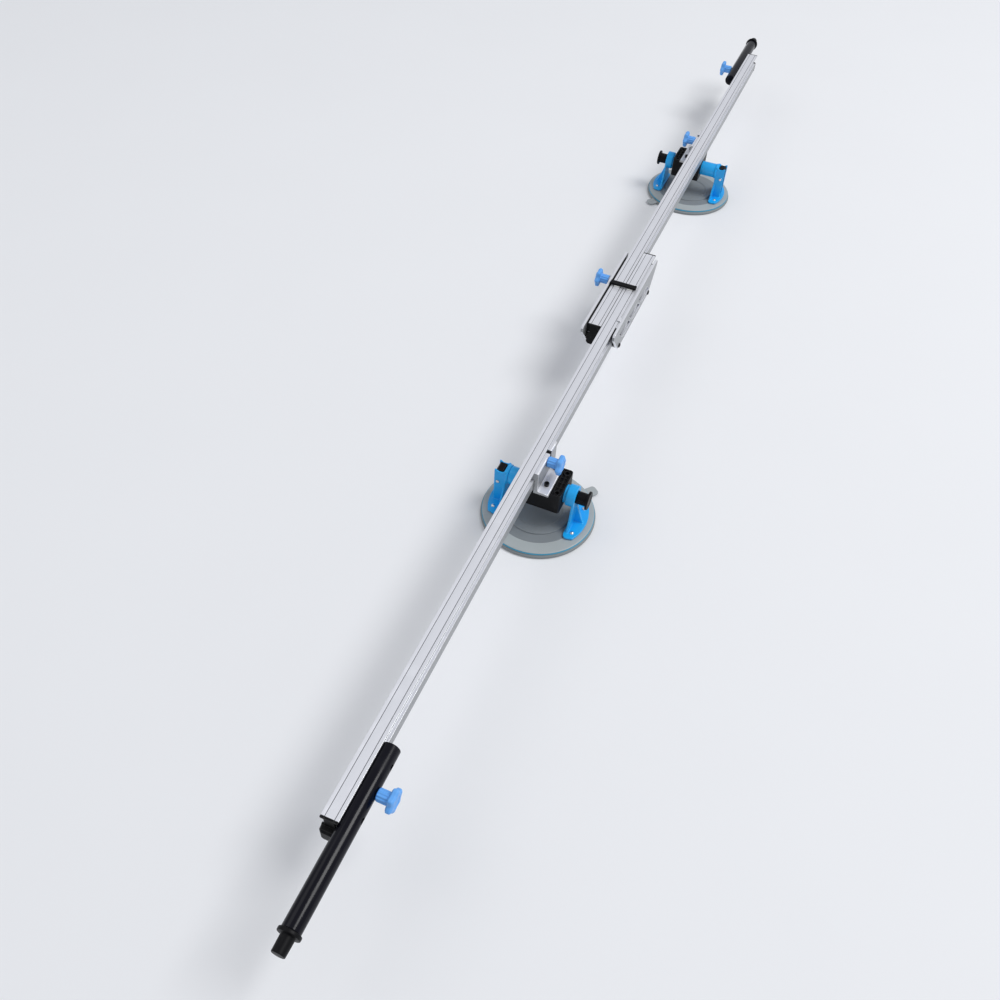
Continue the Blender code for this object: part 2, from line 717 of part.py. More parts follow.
def make_lever_upright(side, cup):
    """Channel upright on the inner side: it holds the tube's other end and the release lever."""
    name = f"{side}_cup_lever_upright"
    upright = foot(name, 1)
    inner = CHANNEL_HALF - CHANNEL_WALL
    channel = [
        (-CHANNEL_HALF, FOOT_CHORD),
        (CHANNEL_HALF, FOOT_CHORD),
        (CHANNEL_HALF, CHANNEL_FACE),
        (inner, CHANNEL_FACE),
        (inner, FOOT_CHORD + CHANNEL_WEB),
        (-inner, FOOT_CHORD + CHANNEL_WEB),
        (-inner, CHANNEL_FACE),
        (-CHANNEL_HALF, CHANNEL_FACE),
    ]
    add(upright, prism(f"{name} channel", [channel], "Z", FOOT_TOP - SINK, CHANNEL_TOP))
    half = CHANNEL_HALF - SINK
    skirt = mirrored([(half, SKIRT_TOP), (SKIRT_WAIST, SKIRT_RISE), (SKIRT_HALF, FOOT_TOP - SINK)])
    add(upright, prism(f"{name} skirt", [skirt], "Y", FOOT_CHORD + SINK, FOOT_CHORD + CHANNEL_WEB - SINK))
    socket_centre = (0.0, 0.0, TUBE_HEIGHT)
    boss_start = FOOT_CHORD - BOSS_THICK
    spigot = [
        (TUBE_BORE - GAP, boss_start - SPIGOT_LENGTH),
        (TUBE_BORE - GAP, boss_start),
        (BOSS_RADIUS, boss_start),
        (BOSS_RADIUS, FOOT_CHORD + SINK),
    ]
    add(upright, turned(f"{name} boss", spigot, "Y", socket_centre))
    middle = (FOOT_CHORD + CHANNEL_FACE) / 2
    dip_centre = (0.0, middle, CHANNEL_TOP - CHANNEL_DIP_DEPTH + CHANNEL_DIP_RADIUS)
    reach = CHANNEL_HALF + THROUGH
    cut(upright, rod(f"{name} dip", CHANNEL_DIP_RADIUS, "X", dip_centre, -reach, reach, ROUND_STEPS))
    pivot = (0.0, LEVER_PIVOT_OUT, LEVER_PIVOT_HEIGHT)
    cut(upright, rod(f"{name} pin bore", PIN_RADIUS + GAP, "X", pivot, -reach, reach))
    place(upright, cup, "azure_plastic")


def make_lever(side, cup):
    half = CHANNEL_HALF - CHANNEL_WALL - LEVER_CLEAR
    back = FOOT_CHORD + CHANNEL_WEB
    outline = [
        (back + 0.0012, CHANNEL_TOP - 0.0040),
        (back + 0.0030, CHANNEL_TOP - 0.0015),
        (CHANNEL_FACE - 0.0040, CHANNEL_TOP - 0.0015),
        (CHANNEL_FACE - EDGE, CHANNEL_TOP - 0.0060),
        (CHANNEL_FACE - 0.0020, LEVER_PIVOT_HEIGHT),
        (LEVER_PIVOT_OUT + 0.0040, LEVER_LOW + 0.0060),
        (LEVER_PIVOT_OUT + 0.0030, LEVER_LOW),
        (LEVER_PIVOT_OUT - 0.0030, LEVER_LOW),
        (LEVER_PIVOT_OUT - 0.0040, LEVER_PIVOT_HEIGHT - 0.0060),
        (back + 0.0020, LEVER_PIVOT_HEIGHT + 0.0080),
    ]
    lever = prism(f"{side}_cup_release_lever", [outline], "X", -half, half)
    pivot = (0.0, LEVER_PIVOT_OUT, LEVER_PIVOT_HEIGHT)
    reach = half + THROUGH
    cut(lever, rod(f"{side}_cup_release_lever bore", PIN_RADIUS + GAP, "X", pivot, -reach, reach))
    place(lever, cup, "black_plastic", pivot)


def make_pin(side, cup):
    head = CHANNEL_HALF + GAP
    profile = [
        (PIN_HEAD_RADIUS - 0.0006, -head - PIN_HEAD),
        (PIN_HEAD_RADIUS, -head - PIN_HEAD / 2),
        (PIN_HEAD_RADIUS, -head),
        (PIN_RADIUS, -head),
        (PIN_RADIUS, head),
        (PIN_HEAD_RADIUS, head),
        (PIN_HEAD_RADIUS, head + PIN_HEAD / 2),
        (PIN_HEAD_RADIUS - 0.0006, head + PIN_HEAD),
    ]
    centre = (0.0, LEVER_PIVOT_OUT, LEVER_PIVOT_HEIGHT)
    place(turned(f"{side}_cup_lever_pin", profile, "X", centre, SMALL_STEPS), cup, "bright_steel")


def make_tube(side, cup):
    profile = [
        (TUBE_BORE, -TUBE_OUTER_END),
        (TUBE_RADIUS, -TUBE_OUTER_END),
        (TUBE_RADIUS, TUBE_INNER_END),
        (TUBE_BORE, TUBE_INNER_END),
    ]
    tube = turned(f"{side}_cup_tube", profile, "Y", (0.0, 0.0, TUBE_HEIGHT), closed=True)
    place(tube, cup, "azure_plastic")


def make_pump(side, cup):
    """Plunger: push button, neck, rod and piston inside the tube."""
    inner_end = -PUMP_FACE + SOCKET_END_WALL + SOCKET_DEPTH
    button_seat = -PUMP_FACE - NECK_LENGTH
    button_face = button_seat - BUTTON_THICK
    profile = [
        (BUTTON_RADIUS - EDGE, button_face),
        (BUTTON_RADIUS, button_face + 0.0012),
        (BUTTON_RADIUS, button_seat),
        (NECK_RADIUS, button_seat),
        (NECK_RADIUS, inner_end),
        (PISTON_ROD, inner_end),
        (PISTON_ROD, -PISTON_INNER - PISTON_LENGTH),
        (TUBE_BORE - GAP, -PISTON_INNER - PISTON_LENGTH),
        (TUBE_BORE - GAP, -PISTON_INNER),
    ]
    axis_point = (0.0, 0.0, TUBE_HEIGHT)
    plunger = turned(f"{side}_cup_pump_plunger", profile, "Y", axis_point)
    place(plunger, cup, "black_plastic", axis_point)


def make_spring(side, cup):
    """Return spring of the pump, inside the tube between the piston and the spigot."""
    seat = FOOT_CHORD - BOSS_THICK - SPIGOT_LENGTH - GAP - SPRING_WIRE
    start = -PISTON_INNER + GAP + SPRING_WIRE
    steps_per_turn = 10
    count = SPRING_TURNS * steps_per_turn
    loops = []
    for step in range(count + 1):
        angle = 2 * math.pi * step / steps_per_turn
        along = start + (seat - start) * step / count
        outward = Vector((math.cos(angle), 0.0, math.sin(angle)))
        centre = Vector((0.0, along, TUBE_HEIGHT)) + outward * SPRING_RADIUS
        loop = []
        for corner in range(3):
            turn = 2 * math.pi / 3 * corner
            rise = Vector((0.0, SPRING_WIRE * math.sin(turn), 0.0))
            loop.append(tuple(centre + outward * SPRING_WIRE * math.cos(turn) + rise))
        loops.append(loop)
    place(rings(f"{side}_cup_pump_spring", loops, closed=False, smooth=80.0), cup, "bright_steel")


def make_cup(side, cup):
    make_pad(side, cup)
    make_base(side, cup)
    make_ring(side, cup)
    make_pump_upright(side, cup)
    make_lever_upright(side, cup)
    make_tube(side, cup)
    make_pump(side, cup)
    make_spring(side, cup)
    make_lever(side, cup)
    make_pin(side, cup)


# Carriages: "out" is the distance from the cup's centre to the outer side, at -Y

def outward(loop):
    """Turns (out, height) pairs into (y, z) pairs of the cup's frame."""
    return [(-out, height) for out, height in loop]


def make_block(side, cup):
    name = f"{side}_clamp_block"
    corner = BLOCK_CORNER
    x_in = BLOCK_HALF - corner
    y_in = -BLOCK_OUTER + corner
    outline = [(BLOCK_HALF, -BLOCK_INNER), (-BLOCK_HALF, -BLOCK_INNER)]
    outline += arc((-x_in, y_in), corner, 180, 270, 4)
    outline += arc((x_in, y_in), corner, 270, 360, 4)
    block = prism(name, [outline], "Z", BLOCK_BOTTOM, BLOCK_SEAT, smooth=30.0)
    reach = BLOCK_HALF + THROUGH
    step_low = (-reach, -BLOCK_OUTER - THROUGH, BLOCK_TOP)
    step = box(f"{name} step", step_low, (reach, -FACE_OUT, BLOCK_SEAT + THROUGH))
    pocket_y = (-BLOCK_OUTER + POCKET_MARGIN, -POCKET_INNER)
    pocket_x = BLOCK_HALF - POCKET_MARGIN
    floor = BLOCK_TOP - POCKET_SUNK
    pocket_high = (pocket_x, pocket_y[1], BLOCK_TOP + THROUGH)
    pocket = box(f"{name} pocket", (-pocket_x, pocket_y[0], floor), pocket_high)
    tube_bore = rod(f"{name} bore", TUBE_RADIUS + GAP, "Y", (0, 0, TUBE_HEIGHT), -BLOCK_OUTER - THROUGH,
                    -BLOCK_INNER + THROUGH, ROUND_STEPS)
    cut(block, step, pocket, tube_bore)
    middle = (pocket_y[0] + pocket_y[1]) / 2
    long_low = (-EYE_X, middle - BLOCK_RIB / 2, floor - SINK)
    add(block, box(f"{name} long rib", long_low, (EYE_X, middle + BLOCK_RIB / 2, BLOCK_TOP - GAP)))
    for place_x in (-CROSS_RIB_X, 0.0, CROSS_RIB_X):
        cross_low = (place_x - BLOCK_RIB / 2, pocket_y[0] - SINK, floor - SINK)
        cross_high = (place_x + BLOCK_RIB / 2, pocket_y[1] + SINK, BLOCK_TOP - 3 * GAP)
        add(block, box(f"{name} cross rib {place_x}", cross_low, cross_high))
    for sign in (-1, 1):
        centre = (sign * EYE_X, middle, 0)
        eye_top = BLOCK_TOP - 2 * GAP
        above = BLOCK_TOP + THROUGH
        steps = ROUND_STEPS // 2
        add(block, rod(f"{name} eye {sign}", EYE_RADIUS, "Z", centre, floor - SINK, eye_top, steps))
        cut(block, rod(f"{name} eye bore {sign}", EYE_BORE, "Z", centre, floor - POCKET_SUNK, above))
        centre = (sign * SCREW_X, -SCREW_OUT, 0)
        low = FOOT_LEVEL - SCREW_DEPTH - GAP
        cut(block, rod(f"{name} screw bore {sign}", SCREW_RADIUS + GAP, "Z", centre, low, above))
    place(block, cup, "black_plastic")


def notch_range(notch_side):
    ends = (notch_side * NOTCH_START, notch_side * (NOTCH_START + NOTCH_WIDTH))
    return min(ends), max(ends)


def make_bracket(side, cup, notch_side):
    """Aluminium angle with a tongue in the rail's groove and a foot on the clamp block."""
    name = f"{side}_carriage_bracket"
    tongue = GROOVE_HEIGHT / 2 - RUN
    foot_top = FOOT_LEVEL + BRACKET_FOOT_THICK
    outline = [
        (WALL_IN, FOOT_LEVEL),
        (BRACKET_FOOT, FOOT_LEVEL),
        (BRACKET_FOOT, foot_top - EDGE),
        (BRACKET_FOOT - EDGE, foot_top),
        (WALL_OUT + 0.0025, foot_top),
        (WALL_OUT, foot_top + 0.0025),
        (WALL_OUT, BRACKET_TOP - 0.0015),
        (WALL_OUT - 0.0015, BRACKET_TOP),
        (FACE_OUT - TONGUE_REACH + EDGE, BRACKET_TOP),
        (FACE_OUT - TONGUE_REACH, BRACKET_TOP - EDGE),
        (FACE_OUT - TONGUE_REACH, GROOVE_MIDDLE - tongue + EDGE),
        (FACE_OUT - TONGUE_REACH + EDGE, GROOVE_MIDDLE - tongue),
        (WALL_IN, GROOVE_MIDDLE - tongue),
    ]
    bracket = prism(name, [outward(outline)], "X", -BRACKET_HALF, BRACKET_HALF)
    start, end = notch_range(notch_side)
    notch_high = (end, THROUGH + TONGUE_REACH, BRACKET_TOP + THROUGH)
    notch = box(f"{name} notch", (start, -WALL_OUT - THROUGH, NOTCH_BOTTOM), notch_high)
    stud = rod(f"{name} stud bore", STUD_RADIUS + RUN, "Y", (0, 0, GROOVE_MIDDLE), -WALL_OUT - THROUGH,
               TONGUE_REACH + THROUGH)
    cut(bracket, notch, stud)
    for sign in (-1, 1):
        centre = (sign * SCREW_X, -SCREW_OUT, 0)
        cut(bracket, rod(f"{name} screw bore {sign}", SCREW_RADIUS + GAP, "Z", centre, FOOT_LEVEL - THROUGH,
                         foot_top + THROUGH))
    place(bracket, cup, "aluminium")


def make_bracket_screws(side, cup):
    seat = FOOT_LEVEL + BRACKET_FOOT_THICK + GAP
    for letter, sign in (("a", -1), ("b", 1)):
        centre = (sign * SCREW_X, -SCREW_OUT, 0.0)
        name = f"{side}_carriage_screw_{letter}"
        screw = socket_screw(name, centre, FOOT_LEVEL - SCREW_DEPTH, seat, seat + SCREW_HEAD)
        place(screw, cup, "black_steel")


def socket_screw(name, centre, tip, seat, top):
    """Socket head screw pointing down, with a six-sided recess; every ring has the same count."""
    steps = 12
    levels = [
        (SCREW_RADIUS, tip),
        (SCREW_RADIUS, seat),
        (SCREW_HEAD_RADIUS, seat),
        (SCREW_HEAD_RADIUS, top - 0.0005),
        (SCREW_HEAD_RADIUS - 0.0005, top),
    ]
    loops = []
    for radius, height in levels:
        loops.append([circle_point(centre, radius, step / steps, height) for step in range(steps)])
    for height in (top, top - HEX_DEPTH):
        loop = []
        for step in range(steps):
            reach = HEX_RADIUS if step % 2 == 0 else HEX_RADIUS * math.cos(math.pi / 6)
            loop.append(circle_point(centre, reach, step / steps, height))
        loops.append(loop)
    return rings(name, loops, closed=False)


def circle_point(centre, radius, part, height):
    angle = 2 * math.pi * part
    return (centre[0] + radius * math.cos(angle), centre[1] + radius * math.sin(angle), height)


def make_nut(side, cup):
    """T-nut that the knob's stud draws against the lips of the rail's slot."""
    name = f"{side}_carriage_nut"
    outer = FACE_OUT - (RAIL_WIDTH / 2 - POCKET_FACE) - GAP
    low = (-NUT_LENGTH / 2, -outer, GROOVE_MIDDLE - NUT_HEIGHT / 2)
    high = (NUT_LENGTH / 2, -outer + NUT_THICK, GROOVE_MIDDLE + NUT_HEIGHT / 2)
    nut = box(name, low, high)
    centre = (0, 0, GROOVE_MIDDLE)
    cut(nut, rod(f"{name} bore", STUD_RADIUS + GAP, "Y", centre, low[1] - THROUGH, high[1] + THROUGH))
    place(nut, cup, "bright_steel")


def make_glide(side, cup, notch_side):
    """Wear block in the notch of the bracket, running in the rail's groove."""
    start, end = notch_range(notch_side)
    tongue_low = GROOVE_MIDDLE - GROOVE_HEIGHT / 2 + RUN
    outline = [
        (FACE_OUT - TONGUE_REACH, tongue_low),
        (WALL_IN, tongue_low),
        (WALL_IN, NOTCH_BOTTOM + GAP),
        (WALL_OUT - EDGE, NOTCH_BOTTOM + GAP),
        (WALL_OUT - EDGE, BRACKET_TOP - 0.0030),
        (FACE_OUT - TONGUE_REACH, BRACKET_TOP - 0.0015),
    ]
    glide = prism(f"{side}_carriage_glide", [outward(outline)], "X", start + GAP, end - GAP)
    place(glide, cup, "black_plastic")


def star_ring(distance, radius, ripple, waves):
    """One ring of a knob: a circle whose radius dips by the ripple, so many times round."""
    loop = []
    for step in range(KNOB_STEPS):
        angle = 2 * math.pi * step / KNOB_STEPS
        reach = radius - ripple * (1 - math.cos(waves * angle)) / 2
        loop.append((reach * math.cos(angle), -distance, reach * math.sin(angle)))
    return loop


def make_knob(name, parent, seat, stud_length):
    """Star knob with its stud moulded in: seat is the middle of the hub's inner face."""
    head = HUB_LENGTH + STAR_THICK
    loops = [
        star_ring(-stud_length, STUD_RADIUS, 0.0, 0),
        star_ring(0.0, STUD_RADIUS, 0.0, 0),
        star_ring(0.0, HUB_RADIUS, HUB_FLUTE_DEPTH, HUB_FLUTES),
        star_ring(HUB_LENGTH, HUB_RADIUS, HUB_FLUTE_DEPTH, HUB_FLUTES),
        star_ring(HUB_LENGTH, STAR_RADIUS - STAR_EDGE, STAR_LOBE_DEPTH, STAR_LOBES),
        star_ring(HUB_LENGTH + STAR_EDGE, STAR_RADIUS, STAR_LOBE_DEPTH, STAR_LOBES),
        star_ring(head - STAR_EDGE, STAR_RADIUS, STAR_LOBE_DEPTH, STAR_LOBES),
        star_ring(head, STAR_RADIUS - 2 * STAR_EDGE, STAR_LOBE_DEPTH, STAR_LOBES),
    ]
    knob = rings(name, loops, closed=False, smooth=40.0)
    place(knob, parent, "knob_plastic")
    knob.location = seat
    return knob


def make_carriage(side, cup, notch_side):
    make_block(side, cup)
    make_bracket(side, cup, notch_side)
    make_bracket_screws(side, cup)
    make_nut(side, cup)
    make_glide(side, cup, notch_side)
    hub_seat = WALL_OUT + GAP
    make_knob(f"{side}_carriage_knob", cup, (0.0, -hub_seat, GROOVE_MIDDLE), hub_seat - STUD_TIP)


# Grip handles: modelled on the near rail's outer side, with its end towards -X

def make_handle_tube(side, carrier, slid):
    name = f"{side}_handle_tube"
    inner_end = slid - HANDLE_INNER_END
    outer_end = slid - HANDLE_OUTER_END
    knob_x = slid - HANDLE_KNOB_X
    axis_point = (0.0, -RAIL_FACE - HANDLE_OUT, GROOVE_MIDDLE)
    inner = HANDLE_RADIUS - HANDLE_WALL
    profile = [
        (HANDLE_RADIUS - HANDLE_CHAMFER, inner_end),
        (HANDLE_RADIUS, inner_end - HANDLE_CHAMFER),
        (HANDLE_RADIUS, outer_end),
        (inner, outer_end),
        (inner, inner_end - HANDLE_WALL),
    ]
    tube = turned(name, profile, "X", axis_point)
    face = -RAIL_FACE - HANDLE_FACE
    centre = (knob_x, 0, GROOVE_MIDDLE)
    cut(tube, rod(f"{name} stud bore", STUD_RADIUS + RUN, "Y", centre, face - THROUGH, 0.0))
    wall = -RAIL_FACE - HANDLE_OUT
    for number, x in enumerate(handle_screw_places(knob_x)):
        centre = (x, 0, GROOVE_MIDDLE)
        access = rod(f"{name} access {number}", ACCESS_RADIUS, "Y", centre, face - THROUGH, wall)
        shank = rod(f"{name} screw bore {number}", HANDLE_SCREW_RADIUS + GAP, "Y", centre, wall - SINK, 0.0)
        cut(tube, access, shank)
    place(tube, carrier, "black_gloss", (knob_x, axis_point[1], GROOVE_MIDDLE))


def handle_screw_places(knob_x):
    return (knob_x - HANDLE_SCREW_SPACING, knob_x + HANDLE_SCREW_SPACING)


def make_handle_plug(side, carrier, slid):
    outer_end = slid - HANDLE_OUTER_END
    seat = outer_end - GAP
    collar = seat - COLLAR_THICK
    tip = collar - STUB_LENGTH
    profile = [
        (HANDLE_RADIUS - HANDLE_WALL - GAP, outer_end + PLUG_DEPTH),
        (HANDLE_RADIUS - HANDLE_WALL - GAP, seat),
        (COLLAR_RADIUS, seat),
        (COLLAR_RADIUS, collar + EDGE),
        (COLLAR_RADIUS - EDGE, collar),
        (STUB_RADIUS, collar),
        (STUB_RADIUS, tip),
    ]
    axis_point = (0.0, -RAIL_FACE - HANDLE_OUT, GROOVE_MIDDLE)
    place(turned(f"{side}_handle_plug", profile, "X", axis_point), carrier, "black_plastic")


def make_slide_bar(side, carrier, slid):
    """Bar in the rail's slot, with the two screws that hold the handle on it."""
    name = f"{side}_handle_slide_bar"
    knob_x = slid - HANDLE_KNOB_X
    head_out = RAIL_MIDDLE + POCKET_FACE - GAP
    lip_out = RAIL_MIDDLE + LIP_FACE + GAP
    pad_out = lip_out + SLIDE_PAD_REACH
    web_out = RAIL_MIDDLE + RAIL_WEB / 2 + GAP
    head = NUT_HEIGHT / 2
    neck = SLOT_HEIGHT / 2 - GAP
    half = [
        (web_out, head),
        (head_out, head),
        (head_out, neck),
        (lip_out, neck),
        (lip_out, head),
        (pad_out, head),
    ]
    outline = [(-out, GROOVE_MIDDLE + rise) for out, rise in half]
    outline += [(-out, GROOVE_MIDDLE - rise) for out, rise in reversed(half)]
    bar = prism(name, [outline], "X", knob_x - SLIDE_BAR_HALF, knob_x + SLIDE_BAR_HALF)
    centre = (knob_x, 0, GROOVE_MIDDLE)
    cut(bar, rod(f"{name} bore", STUD_RADIUS + GAP, "Y", centre, -pad_out - THROUGH, 0.0))
    inner = HANDLE_RADIUS - HANDLE_WALL
    seat = -RAIL_FACE - HANDLE_OUT + math.sqrt(inner ** 2 - HANDLE_SCREW_HEAD_RADIUS ** 2) - GAP
    profile = [
        (HANDLE_SCREW_HEAD_RADIUS * 0.8, seat - HANDLE_SCREW_HEAD),
        (HANDLE_SCREW_HEAD_RADIUS, seat - HANDLE_SCREW_HEAD * 0.7),
        (HANDLE_SCREW_HEAD_RADIUS, seat),
        (HANDLE_SCREW_RADIUS, seat),
        (HANDLE_SCREW_RADIUS, -lip_out),
    ]
    for x in handle_screw_places(knob_x):
        add(bar, turned(f"{name} screw {x}", profile, "Y", (x, 0.0, GROOVE_MIDDLE), SMALL_STEPS))
    place(bar, carrier, "aluminium")


def make_handle(side, carrier, slid):
    """A whole handle; slid is how far in it stands, towards the carrier's middle."""
    make_handle_tube(side, carrier, slid)
    make_handle_plug(side, carrier, slid)
    make_slide_bar(side, carrier, slid)
    seat = RAIL_FACE + HANDLE_FACE + GAP
    tip = RAIL_MIDDLE + RAIL_WEB / 2 + 2 * GAP
    knob_seat = (slid - HANDLE_KNOB_X, -seat, GROOVE_MIDDLE)
    make_knob(f"{side}_handle_knob", carrier, knob_seat, seat - tip)


# Middle bracket, fixed to the near rail; the far rail slides through it

def cheek_outline():
    """Boat-shaped plate: the top edge is longer than the bottom one."""
    return mirrored([
        (CHEEK_HALF_TOP - CHEEK_CORNER, CHEEK_TOP),
        (CHEEK_HALF_TOP, CHEEK_TOP - CHEEK_CORNER),
        (CHEEK_HALF_TOP, CHEEK_SHOULDER),
        (CHEEK_HALF_BOTTOM + CHEEK_CORNER, CHEEK_BOTTOM + CHEEK_CORNER),
        (CHEEK_HALF_BOTTOM, CHEEK_BOTTOM),
    ])


def truss_holes():
    """Triangles along the plate that point up and down in turn, with even ribs between them."""
    pitch = 2 * TRUSS_HALF / (TRUSS_CELLS + 1)
    height = TRUSS_HIGH - TRUSS_LOW
    slope = math.atan2(height, pitch)
    inset = TRUSS_RIB / 2 / math.sin(slope)
    drop = inset * math.tan(slope)
    holes = []
    for cell in range(TRUSS_CELLS):
        middle = -TRUSS_HALF + pitch * (cell + 1)
        reach = pitch - inset
        if cell % 2:
            base = TRUSS_LOW
            point = TRUSS_HIGH - drop
        else:
            base = TRUSS_HIGH
            point = TRUSS_LOW + drop
        holes.append([(middle - reach, base), (middle + reach, base), (middle, point)])
    return holes


def make_cheek(name, toward):
    """Side plate of the bracket; toward is -1 for the near rail's side and +1 for the far rail's."""
    start, end = sorted((toward * CHEEK_IN, toward * CHEEK_OUT))
    plate = prism(name, [shifted(cheek_outline(), BRACKET_X)], "Y", start, end)
    for number, loop in enumerate(truss_holes()):
        hole = prism(f"{name} hole {number}", [shifted(loop, BRACKET_X)], "Y", start - THROUGH, end + THROUGH)
        cut(plate, hole)
    for sign in (-1, 1):
        centre = (BRACKET_X + sign * BOLT_X, 0, BOLT_HEIGHT)
        bore = rod(f"{name} bolt bore {sign}", BOLT_RADIUS + GAP, "Y", centre, start - THROUGH, end + THROUGH)
        cut(plate, bore)
    return plate


def make_near_cheek(carrier):
    """The plate that is fixed to the near rail, with a clip over the edge of its flange."""
    name = "bracket_near_cheek"
    cheek = make_cheek(name, -1)
    low = RAIL_TOP + GAP
    clip = [
        (-CHEEK_IN - SINK, CHEEK_TOP - THROUGH),
        (-CHEEK_IN - SINK, low + CLIP_THICK),
        (-RAIL_FACE + CLIP_LAP, low + CLIP_THICK),
        (-RAIL_FACE + CLIP_LAP, low),
        (-CHEEK_IN + SINK, low),
    ]
    add(cheek, prism(f"{name} clip", [clip], "X", CLIP_X - CLIP_HALF, CLIP_X + CLIP_HALF))
    lip_low = (BRACKET_X - LIP_HALF, -CHEEK_IN - SINK, LIP_LOW)
    lip_high = (BRACKET_X + LIP_HALF, -RAIL_FACE - GAP, RAIL_TOP)
    add(cheek, box(f"{name} lip", lip_low, lip_high))
    place(cheek, carrier, "aluminium")


def make_far_cheek(carrier):
    name = "bracket_far_cheek"
    cheek = make_cheek(name, 1)
    centre = (BRACKET_KNOB_X, 0, GROOVE_MIDDLE)
    boss = rod(f"{name} boss", KNOB_BOSS_RADIUS, "Y", centre, CHEEK_OUT - SINK, KNOB_BOSS_FACE, ROUND_STEPS)
    add(cheek, boss)
    bore_end = KNOB_BOSS_FACE + THROUGH
    cut(cheek, rod(f"{name} stud bore", STUD_RADIUS + GAP, "Y", centre, CHEEK_IN - THROUGH, bore_end))
    place(cheek, carrier, "aluminium")


def make_floor(carrier):
    """Plate under both rails, held between the cheeks by two cross bolts."""
    name = "bracket_floor"
    side = CHEEK_IN - GAP
    top = RAIL_BOTTOM - GAP
    low = (BRACKET_X - FLOOR_HALF, -side, top - FLOOR_THICK)
    floor = box(name, low, (BRACKET_X + FLOOR_HALF, side, top))
    for sign in (-1, 1):
        centre = (BRACKET_X + sign * BOLT_X, 0, BOLT_HEIGHT)
        bore = rod(f"{name} bore {sign}", BOLT_RADIUS + GAP, "Y", centre, -side - THROUGH, side + THROUGH)
        cut(floor, bore)
    place(floor, carrier, "aluminium")


def make_bolts(carrier):
    seat = CHEEK_OUT + GAP
    profile = [
        (BOLT_HEAD_RADIUS * 0.7, -seat - BOLT_HEAD),
        (BOLT_HEAD_RADIUS, -seat - BOLT_HEAD * 0.7),
        (BOLT_HEAD_RADIUS, -seat),
        (BOLT_RADIUS, -seat),
        (BOLT_RADIUS, seat),
        (BOLT_HEAD_RADIUS, seat),
        (BOLT_HEAD_RADIUS, seat + BOLT_HEAD * 0.7),
        (BOLT_HEAD_RADIUS * 0.7, seat + BOLT_HEAD),
    ]
    for letter, sign in (("a", -1), ("b", 1)):
        centre = (BRACKET_X + sign * BOLT_X, 0, BOLT_HEIGHT)
        place(turned(f"bracket_bolt_{letter}", profile, "Y", centre, SMALL_STEPS), carrier, "black_steel")


def liner(name, toward, top):
    """Nylon liner between a cheek and its rail, with a tongue in the rail's groove."""
    face = RAIL_FACE + GAP
    back = CHEEK_IN - GAP
    tongue = GROOVE_HEIGHT / 2 - RUN
    reach = RAIL_FACE - LINER_TONGUE
    outline = [
        (back, top),
        (face, top),
        (face, GROOVE_MIDDLE + tongue),
        (reach, GROOVE_MIDDLE + tongue),
        (reach, GROOVE_MIDDLE - tongue),
        (face, GROOVE_MIDDLE - tongue),
        (face, LINER_LOW),
        (back, LINER_LOW),
    ]
    section = [(toward * out, height) for out, height in outline]
    return prism(name, [section], "X", BRACKET_X - LINER_HALF, BRACKET_X + LINER_HALF)


def make_liners(carrier):
    place(liner("bracket_near_liner", -1, LIP_LOW - GAP), carrier, "black_plastic")
    name = "bracket_far_liner"
    far = liner(name, 1, LINER_HIGH)
    centre = (BRACKET_KNOB_X, 0, GROOVE_MIDDLE)
    inner = RAIL_FACE - GROOVE_DEPTH - THROUGH
    outer = CHEEK_IN + THROUGH
    window = rod(f"{name} window", PRESSURE_PAD_RADIUS + RUN, "Y", centre, inner, outer, ROUND_STEPS // 2)
    reach = STRAP_HALF + GAP
    slot_high = (STRAP_X + reach, outer, RAIL_TOP + THROUGH)
    slot = box(f"{name} slot", (STRAP_X - reach, inner, STRAP_LEG_LOW - GAP), slot_high)
    cut(far, window, slot)
    place(far, carrier, "black_plastic")


def make_pressure_pad(carrier):
    """Pad that the bracket's knob presses on the far rail."""
    start = RAIL_FACE - GROOVE_DEPTH + GAP
    centre = (BRACKET_KNOB_X, 0, GROOVE_MIDDLE)
    end = start + PRESSURE_PAD_THICK
    pad = rod("bracket_pressure_pad", PRESSURE_PAD_RADIUS, "Y", centre, start, end, ROUND_STEPS // 2)
    place(pad, carrier, "white_nylon")


def make_strap(carrier):
    """Hold-down strap across both rails; its leg drops into the slot of the far liner."""
    low = RAIL_TOP + STRAP_LIFT
    high = low + STRAP_THICK
    outline = [
        (RAIL_FACE + GAP, STRAP_LEG_LOW),
        (CHEEK_IN - GAP, STRAP_LEG_LOW),
        (CHEEK_IN - GAP, high - STRAP_THICK / 3),
        (CHEEK_IN - STRAP_THICK / 3, high),
        (-STRAP_REACH, high),
        (-STRAP_REACH, low),
        (RAIL_FACE + GAP, low),
    ]
    strap = prism("bracket_strap", [outline], "X", STRAP_X - STRAP_HALF, STRAP_X + STRAP_HALF)
    place(strap, carrier, "black_plastic")


def make_strap_pad(carrier):
    """Nylon strip under the strap: a pad over each rail and a thin web between them."""
    name = "bracket_strap_pad"
    foot_low = RAIL_TOP + GAP
    top = RAIL_TOP + STRAP_LIFT - GAP
    reach = STRAP_HALF - STRAP_PAD_PROUD
    web_low = (STRAP_X - reach, -RAIL_MIDDLE, top - STRAP_PAD_WEB)
    pad = box(name, web_low, (STRAP_X + reach, RAIL_MIDDLE, top))
    reach = STRAP_HALF + STRAP_PAD_PROUD
    half = STRAP_PAD / 2
    for sign in (-1, 1):
        middle = sign * RAIL_MIDDLE
        low = (STRAP_X - reach, middle - half, foot_low)
        high = (STRAP_X + reach, middle + half, top - SINK / 4)
        add(pad, box(f"{name} {sign}", low, high))
    place(pad, carrier, "white_nylon")


